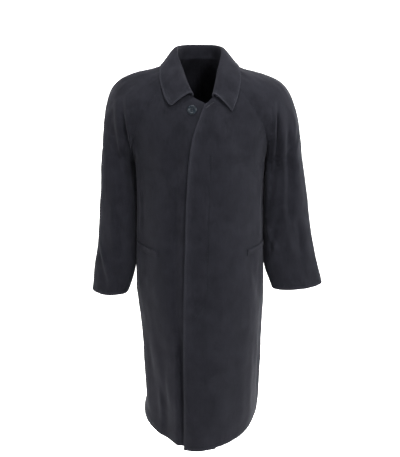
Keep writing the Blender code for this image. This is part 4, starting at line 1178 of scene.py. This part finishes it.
def makeWelt(side):
    # the strip takes the front panel's own points, moved out past the cloth, its mouth edge a little proud:
    # lift * sin(pi across^0.32) * smoothStep(up)
    sheet, length, height = sheets["front", side], welt["length"], welt["height"]
    rim = welt["cloth"] / 2
    across = spread(length, length / welt["columns"], rim)
    up = spread(height, height / welt["rows"], rim)[:, None]
    for flip in (False, True):
        a, up = roundCorner(1 - across if flip else across, up, length, height, welt["corner"])
        across = 1 - a if flip else a
    radius = (ringCurves[side](welt["topZ"]) + ringCurves["front"](welt["topZ"])) / 2
    angle = angleAt(side, welt["frontX"][side], welt["topZ"]) + length / radius * across
    z = welt["topZ"] - height * (1 - up)
    edge = edgeAngle(side, z)
    place = (angle - edge) / (math.pi / 2 - edge)
    column = np.interp(place, sheet["across"], np.arange(len(sheet["across"])))
    heights = sheet["grid"][:, sheet["grid"].shape[1] // 2, 2]
    row = np.interp(z, heights, np.arange(len(heights)))
    lift = welt["lift"] * np.sin(math.pi * across ** welt["liftPlace"]) * smoothStep(up)
    outward = unit(sample(sheet["normal"], row, column))
    grid = sample(sheet["outer"], row, column) + outward * (rim + welt["clear"] + lift)[..., None]
    strip = {"grid": grid, "middle": grid * (0, 0, 1)}
    # the welt gets no painted edge highlight
    piece = pieceOfCloth("pocket_welt_" + side + "_wool", strip, welt["cloth"], woolMaterial, ("head",),
                         dict.fromkeys(("near", "far"), welt["endStitch"]), highlightedBorders=())
    return piece, strip


weltSheets = {}
for side in sideSign:
    pieces["pocket_welt_" + side], weltSheets[side] = makeWelt(side)
print("pocket welts made")


def columnAt(distance, d):
    # fractional column of each row whose distance from the border is d
    d = np.broadcast_to(d, len(distance))
    past = np.clip((distance < d[:, None]).sum(axis=1), 1, distance.shape[1] - 1)
    rows = np.arange(len(distance))
    low, high = distance[rows, past - 1], distance[rows, past]
    return past - 1 + (d - low) / np.maximum(high - low, 1e-9)


def placeOf(sheet, x, z):
    # fractional row and column of the places with this x and height: the nearest grid point, then
    # Newton steps on the grid's own slopes
    flat = sheet["grid"][..., (0, 2)]
    aim = together(x, z)
    nearest = ((flat.reshape(1, -1, 2) - aim[:, None]) ** 2).sum(axis=-1).argmin(axis=1)
    row, column = (index.astype(float) for index in np.unravel_index(nearest, flat.shape[:2]))
    down, over = np.gradient(flat, axis=0), np.gradient(flat, axis=1)
    for _ in range(4):
        miss = aim - sample(flat, row, column)
        d, o = sample(down, row, column), sample(over, row, column)
        size = d[:, 0] * o[:, 1] - d[:, 1] * o[:, 0]
        row = row + (miss[:, 0] * o[:, 1] - miss[:, 1] * o[:, 0]) / size
        column = column + (d[:, 0] * miss[:, 1] - d[:, 1] * miss[:, 0]) / size
    return row, column


def edgeRows(sheet, border, d, ends):
    # places at one distance from a border, between two shares of the way along it
    distance = borderDistance(sheet["grid"])[border]
    upright, farther = border in ("near", "far"), border in ("far", "head")
    distance = distance if upright else distance.T
    place = columnAt(distance[:, ::-1] if farther else distance, d)
    if farther:
        place = distance.shape[1] - 1 - place
    line = np.arange(len(place), dtype=float)
    keep = (line >= ends[0] * len(place)) & (line <= ends[1] * len(place))
    return (line[keep], place[keep]) if upright else (place[keep], line[keep])


# sewing thread: distance between stitches, their length and width, how far they stand out of the cloth
thread = {"pitch": 0.0036, "length": 0.0027, "width": 0.00062, "proud": 0.00022, "around": 6, "rings": 4,
          "sunk": 0.2}
twist = {**thread, "pitch": 0.00066, "length": 0.0011, "width": 0.0006, "proud": 0.00034}
# shares of the border at which each kind of row starts and stops
stitchEnds = {"front": (0.006, 0.992), "welt": (0.08, 0.94), "collarEdge": (0.035, 0.965),
              "collarEnd": (0.36, 0.93)}
trims = {}


def stitch(node, name, sheet, row, column, spec=thread, material=threadMaterial):
    # one small ellipsoid at each step of a path over a sheet, long axis along it and half sunk in the cloth
    path, outward = sample(sheet["outer"], row, column), sample(sheet["normal"], row, column)
    run = borderDistance(path[None])["near"][0]
    count = max(int(run[-1] / spec["pitch"]), 1)
    at = (np.arange(count) + 0.5) * run[-1] / count
    middle = readAlong(at, run, path)
    up, way = (unit(readAlong(at, run, array)) for array in (outward, np.gradient(path, axis=0)))
    polar = np.linspace(0, math.pi, spec["rings"] + 2)[1:-1, None]
    turn = turns(spec["around"])
    shape = together(np.cos(polar), np.sin(polar) * np.cos(turn), np.sin(polar) * np.sin(turn))
    shape = np.concatenate([shape.reshape(-1, 3), [[1, 0, 0], [-1, 0, 0]]])
    shape = shape * np.array([spec["length"], spec["width"], spec["width"]]) / 2
    axes = np.stack([way, unit(np.cross(up, way)), up], axis=1)
    points = (middle + up * (spec["proud"] - spec["width"] * spec["sunk"]))[:, None] + shape @ axes
    faces = ringFaces(spec["rings"], spec["around"]) + (np.arange(count) * len(shape))[:, None, None]
    trims.setdefault(node, []).append(makeMesh(name, points.reshape(-1, 3), faces.reshape(-1, 4), material))


path = smoothPath(flyLine, front["flyStitchSteps"])
stitch("front_left", "fly_stitching", leftFront, *placeOf(leftFront, *path.T))
for side in sideSign:
    path = edgeRows(sheets["front", side], "near", front["edgeStitch"], stitchEnds["front"])
    stitch("front_" + side, "front_edge_stitching_" + side, sheets["front", side], *path)
    path = edgeRows(weltSheets[side], "near", welt["endStitch"], stitchEnds["welt"])
    stitch("pocket_welt_" + side, "welt_end_stitching_" + side, weltSheets[side], *path)
for border, name, ends in (("head", "collar_edge_stitching", "collarEdge"),
                           ("near", "collar_end_stitching_right", "collarEnd"),
                           ("far", "collar_end_stitching_left", "collarEnd")):
    path = edgeRows(collarSheet, border, collar["edgeStitch"], stitchEnds[ends])
    stitch("collar", name, collarSheet, *path)
print("stitching made")

button = {
    "radius": 0.0140, "thick": 0.0038, "x": -0.0225, "z": -0.1175,
    # turned outline: across as a share of the radius, up as a share of the thickness
    "outline": ((0.00, 0.62), (0.40, 0.60), (0.54, 0.63), (0.64, 0.92), (0.74, 1.00), (0.84, 0.93),
                (0.94, 0.66), (1.00, 0.34), (0.94, 0.10), (0.76, 0.00), (0.40, 0.00), (0.00, 0.00)),
    "holes": 4, "holePlace": 0.0030, "holeRadius": 0.00105, "holeDepth": 0.0019,
    "holeReach": 1.25, "holeSlope": 0.5,      # where a well's wall starts and how wide it is, in radii
    "steps": 160, "rings": 96,
    "strandRadius": 0.00026, "strandGap": 0.00042, "strandLow": 0.0009, "strandArch": 0.0016,
    "strandSteps": 24, "strandSides": 8, "strands": 3,
}


def seatOnFront():
    # where the button lies on the under front: its place, and its sideways, up and outward directions
    place = placeOf(rightFront, np.array([button["x"]]), np.array([button["z"]]))
    outward = unit(sample(rightFront["normal"], *place))[0]
    across = unit(np.cross((0, 0, 1), outward))
    return (sample(rightFront["outer"], *place)[0] + outward * torso["clear"],
            np.stack([across, np.cross(outward, across), outward]))


def makeButton(seat, axes):
    # a turned profile round the axis, with blind wells:
    # depth * smoothStep((reach - distance / radius) / slope)
    outline = smoothPath(button["outline"], button["rings"])
    across = np.clip(outline[1:-1, :1], 0, None) * button["radius"]
    up = outline[:, 1:] * button["thick"]
    turn = turns(button["steps"])
    x, y, z = across * np.cos(turn), across * np.sin(turn), up[1:-1]
    upper = np.arange(1, button["rings"] - 1)[:, None] < button["rings"] / 2
    for hole in range(button["holes"]):
        way = math.tau * (hole + 0.5) / button["holes"]
        away = np.hypot(x - button["holePlace"] * math.cos(way), y - button["holePlace"] * math.sin(way))
        inside = smoothStep((button["holeReach"] - away / button["holeRadius"]) / button["holeSlope"])
        z = z - upper * button["holeDepth"] * inside
    local = np.concatenate([together(x, y, z).reshape(-1, 3), together(0, 0, up[(0, -1), 0])])
    faces = ringFaces(len(across), button["steps"])
    return makeMesh("neck_button_horn", seat + local @ axes, faces, buttonMaterial)


def tubeMesh(name, path, radius, around, material):
    # a circle carried along a path, closed by a point at each end; the slant is a way no strand runs
    slant = (0.31, 0.62, 0.72)
    way = unit(np.gradient(path, axis=0))
    side = unit(np.cross(way, slant))
    turn = turns(around)[:, None]
    circle = np.cos(turn) * side[:, None] + np.sin(turn) * np.cross(side, way)[:, None]
    rings = path[:, None] + radius * circle
    ends = [path[0] - way[0] * radius, path[-1] + way[-1] * radius]
    points = np.concatenate([rings.reshape(-1, 3), ends])
    return makeMesh(name, points, ringFaces(len(path), around), material)


def makeButtonThread(seat, axes):
    # two times three strands from well to well, each an arch: up = low + arch * sin(pi t)^0.5
    t = np.linspace(0, 1, button["strandSteps"])
    reach = button["holePlace"] * math.cos(math.pi / 4)
    up = button["thick"] * button["outline"][0][1] - button["strandLow"]
    up = up + button["strandArch"] * np.sin(math.pi * t) ** 0.5
    for number in range(2 * button["strands"]):
        pair, strand = divmod(number, button["strands"])
        y = (2 * pair - 1) * reach + (strand - (button["strands"] - 1) / 2) * button["strandGap"]
        path = seat + together((2 * t - 1) * reach, y, up) @ axes
        tube = tubeMesh("neck_button_thread_%d" % number, path, button["strandRadius"],
                        button["strandSides"], twistMaterial)
        trims.setdefault("neck_button", []).append(tube)


buttonhole = {
    "length": 0.030, "halfWidth": 0.0014, "fromEdge": 0.0125, "z": -0.1125, "slope": 0.05,
    "steps": 384, "column": 12,
}


def makeButtonhole():
    # twist laid round a slot in the left front's corner, along a straight, a half circle, the straight
    # back and a half circle; the turn and the walk along the slot follow from the length run so far
    half = buttonhole["halfWidth"]
    straight, bend = buttonhole["length"] - 2 * half, math.pi * half
    run = np.linspace(0, 2 * (straight + bend), buttonhole["steps"], endpoint=False)
    turn = (np.clip(run - straight, 0, bend) + np.clip(run - 2 * straight - bend, 0, bend)) / half
    walk = np.clip(run, 0, straight) - np.clip(run - straight - bend, 0, straight)
    along = walk + half * np.sin(turn)
    z = buttonhole["z"] - half * np.cos(turn) - buttonhole["slope"] * along
    heights = leftFront["grid"][:, buttonhole["column"], 2]
    row = np.interp(z, heights, np.arange(len(heights)))
    near = borderDistance(leftFront["grid"])["near"]
    low = row.astype(int)
    distance = near[low] + (near[low + 1] - near[low]) * (row - low)[:, None]
    column = columnAt(distance, buttonhole["fromEdge"] + half + along)
    row, column = np.append(row, row[0]), np.append(column, column[0])
    stitch("front_left", "buttonhole_twist", leftFront, row, column, twist, twistMaterial)


seat, axes = seatOnFront()
pieces["neck_button"] = makeButton(seat, axes)
makeButtonThread(seat, axes)
makeButtonhole()
print("button and buttonhole made")

# each piece's cloth before it was sewn: width and length, flat area, and how it is held
cuts = {
    "front_left": ((0.42, 1.22), 0.40, "hung"), "front_right": ((0.42, 1.22), 0.40, "hung"),
    "back_left": ((0.36, 1.24), 0.36, "hung"), "back_right": ((0.36, 1.24), 0.36, "hung"),
    "sleeve_front_left": ((0.24, 0.80), 0.15, "hung"), "sleeve_back_left": ((0.24, 0.80), 0.15, "hung"),
    "sleeve_front_right": ((0.24, 0.80), 0.15, "hung"), "sleeve_back_right": ((0.24, 0.80), 0.15, "hung"),
    "collar": ((0.66, 0.15), 0.075, "folded"),
    "pocket_welt_left": ((0.128, 0.02), None, "laid"), "pocket_welt_right": ((0.128, 0.02), None, "laid"),
}
slots = {name: "overcoating" for name in cuts}
slots.update(collar="collar_cloth", neck_button="button")
for name, piece in pieces.items():
    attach(piece, "root")
    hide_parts(name)
    for extra in trims.get(name, ()):
        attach(extra, "root")
print("pieces placed on the frame")

stage = {
    "floorZ": -1.55, "centre": 0.02, "reach": 4.2, "curve": 1.6, "wall": 3.0, "steps": 24, "around": 96,
}


def makeStage():
    # a round floor that sweeps up into a wall: distance out and height along one profile, turned round Z
    curve, steps, around = stage["curve"], stage["steps"], stage["around"]
    flat = np.linspace(stage["centre"], stage["reach"], steps)
    bend = np.linspace(0, math.pi / 2, steps)[1:]
    out = np.concatenate([flat, stage["reach"] + curve * np.sin(bend), [stage["reach"] + curve]])[:, None]
    up = np.concatenate([0 * flat, curve * (1 - np.cos(bend)), [curve + stage["wall"]]])[:, None]
    points = together(out * np.cos(turns(around)), out * np.sin(turns(around)), up)
    points = np.concatenate([points.reshape(-1, 3), [[0, 0, 0]]]) + (0, 0, stage["floorZ"])
    floor = makeMesh("studio_floor", points, ringFaces(len(out), around, tips=1), makePlain("paleFloor"))


def addToScene(name, data, place):
    # an object for a lamp or camera, linked and put in its place
    holder = bpy.data.objects.new(name, data)
    bpy.context.scene.collection.objects.link(holder)
    holder.location = place
    return holder


# place, aim, size of the panel and power
lights = {
    "key": ((1.36, -2.0, 1.70), (0.0, 0, -0.45), (0.65, 0.85), 226),
    "fill": ((-2.2, -2.3, 0.9), (0, 0, -0.5), (1.2, 1.4), 78),
    "sideLeft": ((2.5, -0.35, 0.0), (0, 0, -0.6), (0.9, 2.4), 125),
    "sideRight": ((-2.5, 0.5, -0.1), (0, 0, -0.6), (0.9, 2.4), 65),
    "above": ((0.0, -0.4, 2.6), (0, 0, -0.5), (1.4, 1.4), 230),
    "behind": ((1.7, 2.5, 1.5), (0, 0, -0.5), (0.9, 0.9), 95),
}
camera = {"place": (0.0, -1.88, 0.061), "pitch": -17.0, "lens": 47.3, "sensor": 36.0}
air = {"colour": (0.95, 0.97, 1.0, 1), "strength": 0.2}


def makeLight(name, place, aim, size, power):
    # a rectangle of light turned to its aim
    lamp = bpy.data.lights.new(name, "AREA")
    lamp.shape = "RECTANGLE"
    lamp.size, lamp.size_y = size
    lamp.energy = power
    holder = addToScene(name, lamp, place)
    holder.rotation_euler = (Vector(aim) - Vector(place)).to_track_quat("-Z", "Y").to_euler()


def makeCamera():
    # looks along +Y, turned down by the pitch
    data = bpy.data.cameras.new("camera")
    data.lens, data.sensor_width = camera["lens"], camera["sensor"]
    holder = addToScene("camera", data, camera["place"])
    holder.rotation_euler = (math.radians(90 + camera["pitch"]), 0, 0)
    bpy.context.scene.camera = holder


makeStage()
for name, light in lights.items():
    makeLight(name, *light)
makeCamera()
world = bpy.data.worlds.new("studioAir")
world.use_nodes = True
setInputs(world.node_tree.nodes["Background"], {"Color": air["colour"], "Strength": air["strength"]})
bpy.context.scene.world = world
bpy.context.scene.view_settings.view_transform = "Standard"
print("stage, lights and camera set")
